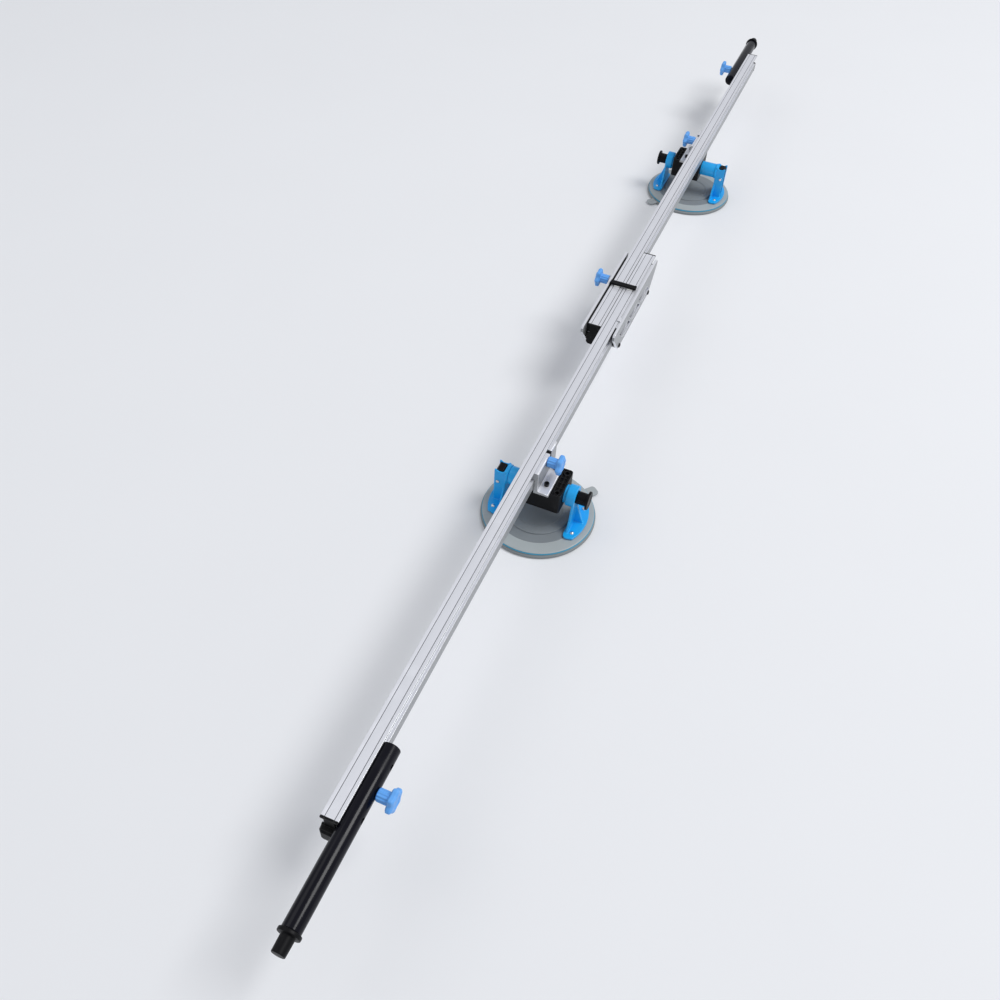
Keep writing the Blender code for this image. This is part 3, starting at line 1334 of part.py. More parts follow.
def make_bracket_middle(middle):
    carrier = frame("bracket", parent=middle)
    make_near_cheek(carrier)
    make_far_cheek(carrier)
    make_floor(carrier)
    make_bolts(carrier)
    make_liners(carrier)
    make_pressure_pad(carrier)
    make_strap(carrier)
    make_strap_pad(carrier)
    far_side = frame("bracket_knob_frame", turn=HALF_TURN, parent=carrier)
    hub_seat = KNOB_BOSS_FACE + GAP
    tip = RAIL_FACE - GROOVE_DEPTH + 2 * GAP + PRESSURE_PAD_THICK
    make_knob("bracket_knob", far_side, (-BRACKET_KNOB_X, -hub_seat, GROOVE_MIDDLE), hub_seat - tip)


def main():
    clear_scene()
    middle = frame("carrier_middle", (MIDDLE_X, 0.0, 0.0))
    near = frame("near_side", parent=middle)
    far = frame("far_side", turn=HALF_TURN, parent=middle)
    for side, carrier, slid in (("near", near, 0.0), ("far", far, FAR_HANDLE_IN)):
        make_rail(side, carrier)
        make_inner_cap(side, carrier)
        make_outer_cap(side, carrier)
        make_handle(side, carrier, slid)
    near_cup = frame("near_cup_frame", (NEAR_CUP_X, -CUP_OFFSET, 0.0), parent=middle)
    far_cup = frame("far_cup_frame", (FAR_CUP_X, CUP_OFFSET, 0.0), HALF_TURN, middle)
    for side, cup, notch_side in (("near", near_cup, 1), ("far", far_cup, -1)):
        make_cup(side, cup)
        make_carriage(side, cup, notch_side)
    make_bracket_middle(middle)


main()
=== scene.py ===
# %% [markdown]
# This lesson dresses a carrier for large tiles: two aluminium rails that slide past each other, a clamp
# bracket that joins them, and on each rail a vacuum cup, a grip tube and light blue star knobs.
# The solids come packed with their joints, so every piece made here rides on one of their bodies.

# %% Load the solids
import json
import math

import bmesh
import bpy
from mathutils import Matrix, Vector

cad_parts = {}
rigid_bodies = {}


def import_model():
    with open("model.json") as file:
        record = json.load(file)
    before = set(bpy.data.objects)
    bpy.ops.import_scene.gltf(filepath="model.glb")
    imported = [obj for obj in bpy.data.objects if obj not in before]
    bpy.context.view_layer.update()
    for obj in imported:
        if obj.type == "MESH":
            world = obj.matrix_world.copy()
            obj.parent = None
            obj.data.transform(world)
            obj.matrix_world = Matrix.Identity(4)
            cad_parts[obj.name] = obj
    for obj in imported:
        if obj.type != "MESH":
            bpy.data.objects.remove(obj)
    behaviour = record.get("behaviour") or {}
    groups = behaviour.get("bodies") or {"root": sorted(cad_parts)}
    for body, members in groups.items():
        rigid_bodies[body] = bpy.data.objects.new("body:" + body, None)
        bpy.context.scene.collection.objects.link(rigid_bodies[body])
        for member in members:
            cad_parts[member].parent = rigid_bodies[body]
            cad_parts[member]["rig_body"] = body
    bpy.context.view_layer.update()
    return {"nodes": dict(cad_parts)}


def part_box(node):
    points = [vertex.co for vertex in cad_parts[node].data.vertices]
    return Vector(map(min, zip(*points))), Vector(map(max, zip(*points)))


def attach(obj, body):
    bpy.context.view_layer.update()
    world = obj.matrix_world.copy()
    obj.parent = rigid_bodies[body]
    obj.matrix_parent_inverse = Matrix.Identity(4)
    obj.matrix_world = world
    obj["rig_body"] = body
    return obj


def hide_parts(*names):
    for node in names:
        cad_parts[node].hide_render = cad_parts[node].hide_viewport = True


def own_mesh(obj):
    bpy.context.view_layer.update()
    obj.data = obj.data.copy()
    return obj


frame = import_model()
nodes = frame["nodes"]
scene = bpy.context.scene

# %% [markdown]
# A product photograph is taken with one fixed lens. The camera could be placed by eye, but here its place
# and turn were worked out from the rails and the two cups, so they are written as numbers.
# A 36 mm sensor with a 34 mm lens gives the mild perspective of the picture.

# %% Camera
lens = bpy.data.cameras.new("camera")
lens.sensor_width = 36.0
lens.lens = 34.02
lens.clip_end = 100.0
camera = bpy.data.objects.new("camera", lens)
scene.collection.objects.link(camera)
turn = Matrix((
    (0.393724, 0.681405, -0.616984),
    (-0.918472, 0.318843, -0.233982),
    (0.037285, 0.658807, 0.751388),
))
camera.matrix_world = Matrix.Translation((-1.5132, -0.3460, 1.2662)) @ turn.to_4x4()
scene.camera = camera
scene.view_settings.view_transform = "Standard"
print("lens:", round(lens.lens, 2), "mm")

# %% [markdown]
# Shader maths is easier to read as sums than as a tangle of boxes and wires. This small class wraps one
# socket, and each Python operator adds the Math node that does the same. The reflected forms let a plain
# number stand first, as in 1 - mask. Colours don't go through it, because a Math node turns them grey.

# %% A socket that can be used in sums
class Amount:
    def __init__(self, finish, socket):
        self.finish = finish
        self.socket = socket

    def maths(self, operation, first, second):
        return self.finish.node("ShaderNodeMath", {"operation": operation}, {0: first, 1: second})

    def __add__(self, other):
        return self.maths("ADD", self, other)

    def __radd__(self, other):
        return self.maths("ADD", other, self)

    def __sub__(self, other):
        return self.maths("SUBTRACT", self, other)

    def __rsub__(self, other):
        return self.maths("SUBTRACT", other, self)

    def __mul__(self, other):
        return self.maths("MULTIPLY", self, other)

    def __rmul__(self, other):
        return self.maths("MULTIPLY", other, self)


print("operators ready")

# %% [markdown]
# Every finish is one material with a Principled shader. All of its other nodes come from one method, which
# sets the node's own settings first and then its sockets, by a value or by a link.
# Patterns are laid out in the object's own space, in metres, so that grain keeps its real size on any piece.

# %% A finish and its nodes
class Finish:
    def __init__(self, name, colour, roughness, metallic=0.0, shine=0.5):
        self.material = bpy.data.materials.new(name)
        self.material.use_nodes = True
        self.tree = self.material.node_tree
        self.shader = self.tree.nodes["Principled BSDF"]
        self.colour = colour
        self.shader.inputs["Base Color"].default_value = (*colour, 1.0)
        self.shader.inputs["Roughness"].default_value = roughness
        self.shader.inputs["Metallic"].default_value = metallic
        self.shader.inputs["Specular IOR Level"].default_value = shine

    def feed(self, socket, value):
        if isinstance(value, Amount):
            self.tree.links.new(value.socket, socket)
        else:
            socket.default_value = value

    def node(self, kind, settings, sockets, output=0):
        made = self.tree.nodes.new(kind)
        for key, value in settings.items():
            if key == "stops":
                for number, (position, level) in enumerate(value):
                    stop = made.color_ramp.elements[number]
                    stop.position = position
                    stop.color = (level, level, level, 1.0)
            else:
                setattr(made, key, value)
        for key, value in sockets.items():
            self.feed(made.inputs[key], value)
        return Amount(self, made.outputs[output])

    def place(self, stretch=(1.0, 1.0, 1.0)):
        point = self.node("ShaderNodeTexCoord", {}, {}, "Object")
        return self.node("ShaderNodeVectorMath", {"operation": "MULTIPLY"}, {0: point, 1: stretch})

    def noise(self, scale, detail=2.0, stretch=(1.0, 1.0, 1.0)):
        sockets = {"Vector": self.place(stretch), "Scale": scale, "Detail": detail}
        return self.node("ShaderNodeTexNoise", {}, sockets)

    def ramp(self, amount, low, high):
        stops = [(low, 0.0), (high, 1.0)]
        return self.node("ShaderNodeValToRGB", {"stops": stops}, {"Fac": amount})

    def mark(self, name):
        return self.node("ShaderNodeAttribute", {"attribute_name": name}, {}, "Fac")

    def mix(self, amount, first, second):
        sockets = {0: amount, 6: first, 7: second}
        return self.node("ShaderNodeMix", {"data_type": "RGBA"}, sockets, 2)

    def shade(self, factor):
        return tuple(channel * factor for channel in self.colour) + (1.0,)

    def set(self, name, value):
        self.feed(self.shader.inputs[name], value)

    def bump(self, height, distance, strength=1.0):
        sockets = {"Strength": strength, "Distance": distance, "Height": height}
        self.set("Normal", self.node("ShaderNodeBump", {}, sockets))


finishes = {}
print("finish maker ready")

# %% [markdown]
# The rails are extruded aluminium with a satin anodised skin. Drawing the metal through the die leaves fine
# lines along its length, which spread the reflections. An anisotropic shader could do this, but a noise
# stretched along X shows the lines themselves and survives being exported.
# Faces cut by the bevels carry an edge mark, and handling polishes those first. The walls of the fine
# score lines carry a mark of their own that paints them dark: painted shade in the grooves. Upright faces
# have a side mark that paints them greyer than the top: painted shade on faces turned from the light.

# %% Satin aluminium
metal = Finish("aluminium", (0.84, 0.85, 0.90), 0.42, 0.50)
lines = metal.noise(1.0, 2.0, (1.5, 2600.0, 2600.0))
cloud = metal.noise(9.0, 4.0)
smudge = metal.ramp(metal.noise(38.0, 5.0), 0.56, 0.72)
worn = metal.mark("edge")
score = metal.mark("score")
upright = metal.mark("side")
drawn = metal.mix(lines * 0.6 + cloud * 0.4, metal.shade(0.94), metal.shade(1.04))
# Upright faces are painted greyer than the top by the side mark: painted shade.
side_shaded = metal.mix(upright * 0.85, drawn, (0.30, 0.31, 0.315, 1.0))
bright = metal.mix(worn * 0.5, side_shaded, (0.90, 0.91, 0.93, 1.0))
# The score mark paints the walls of the score lines dark: painted shade in the grooves.
metal.set("Base Color", metal.mix(score, bright, (0.16, 0.165, 0.18, 1.0)))
metal.set("Roughness", 0.38 + lines * 0.06 + smudge * 0.10 - worn * 0.10)
metal.bump(lines + smudge * 0.15, 0.00001, 0.5)
finishes["aluminium"] = metal
print("aluminium nodes:", len(metal.tree.nodes))

# %% [markdown]
# The uprights and tubes are moulded in azure plastic, the thin trim rings in a duller one, and the star
# knobs in a paler, warmer blue. Moulded plastic isn't perfectly even: the colour drifts a little, the skin
# has a fine eroded grain, and corners rub shiny. One function makes all plain mouldings, because they
# differ only in their numbers.

# %% Moulded plastics
def moulding(name, colour, roughness, grain, depth, drift=0.08, speck=0.0, shine=0.5):
    plastic = Finish(name, colour, roughness, 0.0, shine)
    cloud = plastic.noise(14.0, 3.0)
    fine = plastic.noise(grain, 2.0)
    scuff = plastic.ramp(plastic.noise(60.0, 6.0, (1.0, 1.6, 0.8)), 0.60, 0.74)
    rubbed = plastic.mark("edge")
    drifted = plastic.mix(cloud, plastic.shade(1.0 - drift), plastic.shade(1.0 + drift))
    pale = tuple(channel * 0.85 + 0.09 for channel in colour) + (1.0,)
    marked = plastic.mix(scuff * 0.10 + rubbed * 0.22 + fine * speck, drifted, pale)
    plastic.set("Base Color", marked)
    plastic.set("Roughness", roughness - 0.05 + fine * 0.08 + scuff * 0.10 - rubbed * 0.08)
    plastic.bump(fine + scuff * 0.3, depth, 0.5)
    finishes[name] = plastic
    return plastic


moulding("azure_plastic", (0.008, 0.405, 0.900), 0.34, 1700.0, 0.00004)
moulding("knob_plastic", (0.128, 0.405, 0.900), 0.40, 1500.0, 0.00005)
moulding("grey_plastic", (0.385, 0.425, 0.435), 0.46, 1300.0, 0.00005)
moulding("grey_plastic_disc", (0.205, 0.230, 0.248), 0.52, 1100.0, 0.00006)
moulding("azure_plastic_trim", (0.050, 0.330, 0.520), 0.40, 1500.0, 0.00003)
moulding("black_plastic", (0.004, 0.004, 0.005), 0.44, 1400.0, 0.00006, drift=0.15, shine=0.14)
moulding("white_nylon", (0.800, 0.800, 0.780), 0.42, 900.0, 0.00003, drift=0.03)
print("plastics:", sorted(finishes))

# %% [markdown]
# The rubber pads are matt and slightly dusty. Dust sits in a loose pattern, so a coarse noise lightens the
# rubber in patches, and a finer one gives it the pores of the mould. The lift tab is the same rubber, but
# it stands in the light and looks paler, so it has its own shade.

# %% Rubber
moulding("grey_rubber", (0.240, 0.262, 0.268), 0.66, 900.0, 0.00010, drift=0.12, speck=0.10)
moulding("grey_rubber_tab", (0.400, 0.430, 0.440), 0.62, 900.0, 0.00010, drift=0.08, speck=0.06)
print("rubbers ready")

# %% [markdown]
# The grip tubes are painted gloss black. Sprayed paint is smooth but never flat: it has a faint ripple,
# called orange peel, that bends reflections, and hands leave slightly duller patches where they hold it.

# %% Gloss black paint
paint = Finish("black_gloss", (0.003, 0.003, 0.007), 0.18, 0.0, 0.20)
peel = paint.noise(420.0, 2.0)
held = paint.ramp(paint.noise(26.0, 5.0), 0.50, 0.68)
fleck = paint.ramp(paint.noise(900.0, 2.0), 0.70, 0.76)
paint.set("Base Color", paint.mix(held * 0.10 + fleck * 0.05, paint.shade(1.0), (0.020, 0.020, 0.028, 1.0)))
paint.set("Roughness", 0.15 + held * 0.14 + peel * 0.04)
paint.bump(peel, 0.00006, 0.35)
finishes["black_gloss"] = paint
print("paint nodes:", len(paint.tree.nodes))

# %% [markdown]
# Screws and bolts are blackened steel, and rivets, pins and springs are bright zinc plated steel. Both are
# metal, so the colour sits in the reflection. Fine scratches run every way, which a noise squeezed along
# two directions and mixed imitates well enough at this size.

# %% Steels
def steel(name, colour, roughness, metallic):
    metal = Finish(name, colour, roughness, metallic)
    across = metal.noise(1.0, 3.0, (2600.0, 300.0, 2600.0))
    along = metal.noise(1.0, 3.0, (300.0, 2600.0, 900.0))
    stain = metal.ramp(metal.noise(160.0, 4.0), 0.48, 0.70)
    scratched = across * 0.5 + along * 0.5
    metal.set("Base Color", metal.mix(scratched * 0.6 + stain * 0.4, metal.shade(1.12), metal.shade(0.80)))
    metal.set("Roughness", roughness - 0.06 + scratched * 0.12 + stain * 0.10)
    metal.bump(scratched, 0.00002, 0.5)
    finishes[name] = metal


steel("black_steel", (0.012, 0.012, 0.014), 0.34, 0.4)
steel("bright_steel", (0.700, 0.710, 0.720), 0.24, 1.0)
print("finishes:", len(finishes))

# %% [markdown]
# Every carried-over solid gets its finish through its material slots, which leaves its mesh alone. The name
# of the solid's own material says which finish it takes. Pieces made below stand for a solid: they ride on
# the same body, hide that solid and take the same finish.

# %% Finishes on the solids, and pieces that stand for them
slot_names = {}
for name, item in nodes.items():
    slot_names[name] = item.material_slots[0].material.name.split(".")[0]
    item.material_slots[0].material = finishes[slot_names[name]].material


def link(name, mesh, smooth=40.0):
    mesh.shade_smooth()
    mesh.set_sharp_from_angle(angle=math.radians(smooth))
    item = bpy.data.objects.new(name, mesh)
    scene.collection.objects.link(item)
    return item


def stand_for(node, item, *extra):
    chosen = [face.material_index for face in item.data.polygons]
    item.data.materials.clear()
    for name in (slot_names[node], *extra):
        item.data.materials.append(finishes[name].material)
    for face, index in zip(item.data.polygons, chosen):
        face.material_index = min(index, len(extra))
    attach(item, nodes[node]["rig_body"])
    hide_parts(node)
    return item


def mesh_of(work, name):
    mesh = bpy.data.meshes.new(name)
    work.to_mesh(mesh)
    work.free()
    return mesh


print("slots in use:", sorted(set(slot_names.values())))

# %% [markdown]
# No real edge is perfectly sharp, and a small bevel catches the light that tells the eye so. The straight
# pieces are copied from their solids: doubles are welded, flat areas are joined into single faces, and the
# edges that a person would feel are bevelled. Bevels, score lines and upright faces get the marks that the
# finishes above read.
# Weighted normals let the large faces stay flat while the narrow bevels turn the light round the corner.

# %% Copies of solids with softened edges
FLAT_WITHIN = math.radians(1.5)
SHARP_FROM = math.radians(28.0)
SCORE_SUNK = (0.0001, 0.0006)
SCORE_AREA = 0.0005


def softened(node, width, segments=2, shortest=0.003, choose=None):
    work = bmesh.new()
    work.from_mesh(nodes[node].data)
    bmesh.ops.remove_doubles(work, verts=work.verts, dist=0.00001)
    bmesh.ops.dissolve_limit(work, angle_limit=FLAT_WITHIN, verts=work.verts, edges=work.edges)
    marks = work.faces.layers.float.new("edge")
    score_shade_marks = work.faces.layers.float.new("score")
    sides = work.faces.layers.float.new("side")
    top = max(vert.co.z for vert in work.verts)
    sharp = []
    for edge in work.edges:
        if len(edge.link_faces) != 2 or edge.calc_length() < shortest:
            continue
        if edge.calc_face_angle(0.0) > SHARP_FROM and (choose is None or choose(edge)):
            sharp.append(edge)
    made = bmesh.ops.bevel(work, geom=sharp, offset=width, segments=segments, profile=0.5,
                           affect="EDGES", clamp_overlap=False)
    for face in made["faces"]:
        face[marks] = 1.0
    work.normal_update()
    for face in work.faces:
        # Upright faces get the side mark, which the aluminium paints as shade.
        face[sides] = float(abs(face.normal.z) < 0.5)
        # Walls of the rails' score lines get the score mark, which the aluminium paints as shade.
        sunk = top - face.calc_center_median().z
        in_score = SCORE_SUNK[0] < sunk < SCORE_SUNK[1] and face.calc_area() > SCORE_AREA
        face[score_shade_marks] = float(node.endswith("_rail") and in_score)
    item = link(f"{node}_finished", mesh_of(work, f"{node}_finished"), 50.0)
    normals = item.modifiers.new("flat faces stay flat", "WEIGHTED_NORMAL")
    normals.keep_sharp = True
    return item


def centre_of(edge):
    return (edge.verts[0].co + edge.verts[1].co) / 2


print("softened copies ready")

# %% [markdown]
# A rail is one long extrusion: a T-slot on each side, a hollow below, and two fine score lines on top that
# catch a line of shadow. Only its long outer edges are eased. The score lines are narrower than any
# bevel, so they are left as the solid has them.

# %% Rails and their caps
RAIL_LOW, RAIL_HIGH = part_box("near_rail")
RAIL_MIDDLE = 0.013
RAIL_BREAK = 0.0005


def rail_edge(edge):
    centre = centre_of(edge)
    from_middle = abs(abs(centre.y) - RAIL_MIDDLE)
    inside_score = centre.z > RAIL_HIGH.z - 0.001 and 0.002 < from_middle < 0.010
    return edge.calc_length() > 1.0 and not inside_score


for side in ("near", "far"):
    stand_for(f"{side}_rail", softened(f"{side}_rail", RAIL_BREAK, choose=rail_edge))
    for cap in ("inner", "outer"):
        node = f"{side}_rail_{cap}_cap"
        stand_for(node, softened(node, RAIL_BREAK, shortest=0.002))
print("rail length:", round((RAIL_HIGH - RAIL_LOW).x, 3), "m")

# %% [markdown]
# The middle bracket clamps both rails. Its cheeks are pierced with triangles, like a truss, to save weight.
# They are sawn and milled from plate, so their edges have a narrow chamfer that shines.

# %% Middle bracket
for node in ("bracket_near_cheek", "bracket_far_cheek", "bracket_floor"):
    stand_for(node, softened(node, 0.0006))
for node in ("bracket_near_liner", "bracket_far_liner", "bracket_strap", "bracket_strap_pad"):
    stand_for(node, softened(node, 0.0004, shortest=0.002))
print("bracket pieces:", sum(name.startswith("bracket") for name in nodes))

# %% [markdown]
# The carriage bracket is an aluminium angle with a foot, and the block under it is moulded round the cup's
# tube. The wear block fills a notch in the angle. All three have straight sides, so softened copies do.

# %% Carriages
for side in ("near", "far"):
    stand_for(f"{side}_carriage_bracket", softened(f"{side}_carriage_bracket", 0.0006))
    stand_for(f"{side}_clamp_block", softened(f"{side}_clamp_block", 0.0006, shortest=0.0015))
    stand_for(f"{side}_carriage_glide", softened(f"{side}_carriage_glide", 0.0004))
    stand_for(f"{side}_cup_release_lever", softened(f"{side}_cup_release_lever", 0.0006, shortest=0.001))
print("carriages: 2")

# %% [markdown]
# The uprights are moulded, and where one wall runs into another the real part has a soft fillet. Bevels
# struggle where many shapes meet, so these copies are rebuilt from small cubes, smoothed, and thinned out
# again. That rounds the inner corners as well as the outer ones.

# %% Uprights with moulded fillets
def moulded(node, cube=0.0007, passes=5, keep=0.30):
    work = bmesh.new()
    work.from_mesh(nodes[node].data)
    bmesh.ops.remove_doubles(work, verts=work.verts, dist=0.00001)
    item = link(f"{node}_finished", mesh_of(work, f"{node}_finished"))
    remesh = item.modifiers.new("cubes", "REMESH")
    remesh.mode = "VOXEL"
    remesh.voxel_size = cube
    smooth = item.modifiers.new("fillets", "SMOOTH")
    smooth.factor = 0.6
    smooth.iterations = passes
    thin = item.modifiers.new("thinner", "DECIMATE")
    thin.ratio = keep
    view = item.evaluated_get(bpy.context.evaluated_depsgraph_get())
    rough = item.data
    item.data = bpy.data.meshes.new_from_object(view)
    item.modifiers.clear()
    bpy.data.meshes.remove(rough)
    item.data.shade_smooth()
    return item


for side in ("near", "far"):
    for part in ("pump", "lever"):
        upright = stand_for(f"{side}_cup_{part}_upright", moulded(f"{side}_cup_{part}_upright"))
        print(upright.name, len(upright.data.polygons), "faces")

# %% [markdown]
# Round pieces are turned from a profile, as on a lathe. The solids have few sides to keep them light, so
# the visible round pieces are turned again with many more. Corners of a profile are rounded by short
# curves first, which gives every disc and collar a moulded edge for nothing.

# %% Turning a profile
def rounded(points, radius, steps=3):
    result = [points[0]]
    for before, point, after in zip(points, points[1:], points[2:]):
        here = Vector(point)
        back = Vector(before) - here
        ahead = Vector(after) - here
        reach = min(radius, 0.45 * back.length, 0.45 * ahead.length)
        start = here + back.normalized() * reach
        end = here + ahead.normalized() * reach
        for step in range(steps + 1):
            part = step / steps
            result.append(tuple(start * (1 - part) ** 2 + here * 2 * part * (1 - part) + end * part ** 2))
    result.append(points[-1])
    return result


def on_axis(axis, across, rise, height):
    if axis == "X":
        return Vector((height, across, rise))
    if axis == "Y":
        return Vector((across, height, rise))
    return Vector((across, rise, height))


def turned(name, profile, axis, centre, sides=96, ring=None):
    work = bmesh.new()
    loops = []
    for radius, height in profile:
        loop = []
        for step in range(sides):
            angle = 2 * math.pi * step / sides
            reach = radius if ring is None else ring(radius, height, angle)
            spot = on_axis(axis, reach * math.cos(angle), reach * math.sin(angle), height)
            loop.append(work.verts.new(spot + Vector(centre)))
        loops.append(loop)
    for low, high in zip(loops, loops[1:]):
        for step in range(sides):
            after = (step + 1) % sides
            work.faces.new((low[step], low[after], high[after], high[step]))
    bmesh.ops.remove_doubles(work, verts=work.verts, dist=0.000002)
    open_rims = [edge for edge in work.edges if edge.is_boundary]
    if open_rims:
        bmesh.ops.holes_fill(work, edges=open_rims, sides=0)
    bmesh.ops.recalc_face_normals(work, faces=work.faces)
    return link(name, mesh_of(work, name), 38.0)


def facing(side):
    return -1.0 if side == "near" else 1.0


def unit_place(side, spot):
    angle = 0.0 if side == "near" else math.pi
    return Matrix.Translation(spot) @ Matrix.Rotation(angle, 4, "Z")


print("lathe ready")

# %% [markdown]
# The cup is a rubber pad under a moulded base. The pad's lip is thin and its lift tab sticks out so that a
# finger can break the seal. A blue trim ring shows as a thin line between pad and base. The base steps up
# to a raised disc with a shallow dish in it, and the disc is coloured a darker grey than the rest of the
# base.

# %% Cups
PAD_HEIGHT = 0.0075
CUP_RADIUS = 0.1015
TAB_TURN = -39.0
DISC_RADIUS = 0.0763
DISC_FOOT = 0.01215


def disc_mesh(name, profile, centre):
    item = turned(name, profile, "Z", (0.0, 0.0, 0.0), sides=128)
    item.data.transform(centre)
    return item


def lift_tab(work, spot):
    half = 0.0100
    corner = 0.0060
    start = CUP_RADIUS - 0.008
    end = 0.1210
    flat = [(start, -half)]
    for middle_y, first in ((corner - half, -90), (half - corner, 0)):
        for step in range(7):
            angle = math.radians(first + 15 * step)
            flat.append((end - corner + corner * math.cos(angle), middle_y + corner * math.sin(angle)))
    flat.append((start, half))
    rings = []
    turned_spot = spot @ Matrix.Rotation(math.radians(TAB_TURN), 4, "Z")
    for height, inset in ((0.0025, 0.0006), (0.0031, 0.0), (0.0053, 0.0), (0.0060, 0.0007)):
        ring = []
        for x, y in flat:
            point = Vector((x - inset * (x > start), y * (1 - inset / half), height))
            ring.append(work.verts.new(turned_spot @ point))
        rings.append(ring)
    count = len(flat)
    made = [work.faces.new(tuple(reversed(rings[0]))), work.faces.new(tuple(rings[-1]))]
    for low, high in zip(rings, rings[1:]):
        for step in range(count):
            after = (step + 1) % count
            made.append(work.faces.new((low[step], low[after], high[after], high[step])))
    for face in made:
        face.material_index = 1


for side in ("near", "far"):
    middle = sum(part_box(f"{side}_cup_ring"), Vector()) / 2
    spot = unit_place(side, (middle.x, middle.y, 0.0))
    pad = disc_mesh(f"{side}_cup_pad_finished", rounded([
        (0.0, 0.0030),
        (0.0830, 0.0030),
        (0.0860, 0.0),
        (0.0995, 0.0),
        (CUP_RADIUS, 0.0018),
        (CUP_RADIUS, PAD_HEIGHT - 0.0028),
        (0.0995, PAD_HEIGHT),
        (0.0, PAD_HEIGHT),
    ], 0.0008), spot)
    work = bmesh.new()
    work.from_mesh(pad.data)
    lift_tab(work, spot)
    work.to_mesh(pad.data)
    work.free()
    stand_for(f"{side}_cup_pad", pad, "grey_rubber_tab")
    base = disc_mesh(f"{side}_cup_base_finished", rounded([
        (0.0, 0.0078),
        (0.0955, 0.0078),
        (0.0955, 0.0102),
        (0.0985, 0.0102),
        (0.0985, 0.0110),
        (0.0968, 0.0116),
        (0.0765, 0.0121),
        (0.0757, 0.0126),
        (0.0592, 0.0126),
        (0.0585, 0.0160),
        (0.0430, 0.0160),
        (0.0405, 0.0145),
        (0.0, 0.0145),
    ], 0.0009), spot)
    for face in base.data.polygons:
        reach = math.hypot(face.center.x - middle.x, face.center.y - middle.y)
        face.material_index = int(face.center.z > DISC_FOOT and reach < DISC_RADIUS)
    stand_for(f"{side}_cup_base", base, "grey_plastic_disc")
    ring = disc_mesh(f"{side}_cup_ring_finished", rounded([
        (0.0960, 0.0078),
        (0.0995, 0.0078),
        (0.0995, 0.0099),
        (0.0960, 0.0099),
        (0.0960, 0.0078),
    ], 0.0004), spot)
    for face in ring.data.polygons:
        face.material_index = 1
    stand_for(f"{side}_cup_ring", ring, "azure_plastic_trim")
    print(side, "cup across:", round(2 * CUP_RADIUS, 3), "m")

# %% [markdown]
# Two rivets hold each upright. On the real part they are bright steel with domed heads, so a turned dome is
# set over each one, on the foot that it clamps.

# %% Rivets
RIVET_X = 0.0300
RIVET_OUT = 0.0735
FOOT_TOP = 0.0169
for side in ("near", "far"):
    middle = sum(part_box(f"{side}_cup_ring"), Vector()) / 2
    spot = unit_place(side, (middle.x, middle.y, 0.0))
    for number, (x, y) in enumerate(((-1, -1), (1, -1), (-1, 1), (1, 1))):
        profile = [(0.0, -0.0006), (0.0037, -0.0006), (0.0037, 0.0006), (0.0030, 0.0017), (0.0015, 0.0024)]
        head = turned(f"{side}_rivet_{number + 1}", rounded(profile + [(0.0, 0.0026)], 0.0006), "Z",
                      spot @ Vector((x * RIVET_X, y * RIVET_OUT, FOOT_TOP)), sides=32)
        head.data.materials.append(finishes["bright_steel"].material)
        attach(head, nodes[f"{side}_cup_base"]["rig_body"])
print("rivets: 8")

# %% [markdown]
# The handle tube of a cup is a plain tube whose ends sit in the uprights. The pump's plunger is a smooth
# neck with a wider button on its end. Both are turned about the tube's own axis.

# %% Cup tubes, plungers and pins
for side in ("near", "far"):
    out = facing(side)
    low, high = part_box(f"{side}_cup_tube")
    middle = (low + high) / 2
    half = (high.y - low.y) / 2
    tube = turned(f"{side}_cup_tube_finished", rounded([
        (0.0135, -half), (0.0160, -half), (0.0160, half), (0.0135, half), (0.0135, -half),
    ], 0.0006), "Y", middle, sides=80)
    stand_for(f"{side}_cup_tube", tube)
    low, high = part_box(f"{side}_cup_pump_plunger")
    middle = (low + high) / 2
    face = low.y if side == "near" else high.y
    inner = high.y if side == "near" else low.y
    plunger = turned(f"{side}_cup_pump_plunger_finished", rounded([
        (0.0, face - out * 0.0006),
        (0.0120, face - out * 0.0006),
        (0.0135, face),
        (0.0160, face),
        (0.0165, face - out * 0.0040),
        (0.0112, face - out * 0.0042),
        (0.0112, face - out * 0.0380),
        (0.0040, face - out * 0.0380),
        (0.0040, inner + out * 0.0070),
        (0.0132, inner + out * 0.0070),
        (0.0132, inner),
        (0.0, inner),
    ], 0.0009), "Y", (middle.x, 0.0, middle.z), sides=80)
    stand_for(f"{side}_cup_pump_plunger", plunger)
    low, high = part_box(f"{side}_cup_lever_pin")
    middle = (low + high) / 2
    pin = turned(f"{side}_cup_lever_pin_finished", rounded([
        (0.0, low.x),
        (0.0026, low.x),
        (0.0032, low.x + 0.0006),
        (0.0032, low.x + 0.0012),
        (0.0020, low.x + 0.0012),
        (0.0020, high.x - 0.0012),
        (0.0032, high.x - 0.0012),
        (0.0032, high.x - 0.0006),
        (0.0026, high.x),
        (0.0, high.x),
    ], 0.0004), "X", (0.0, middle.y, middle.z), sides=32)
    stand_for(f"{side}_cup_lever_pin", pin)
print("tube diameter: 0.032 m")
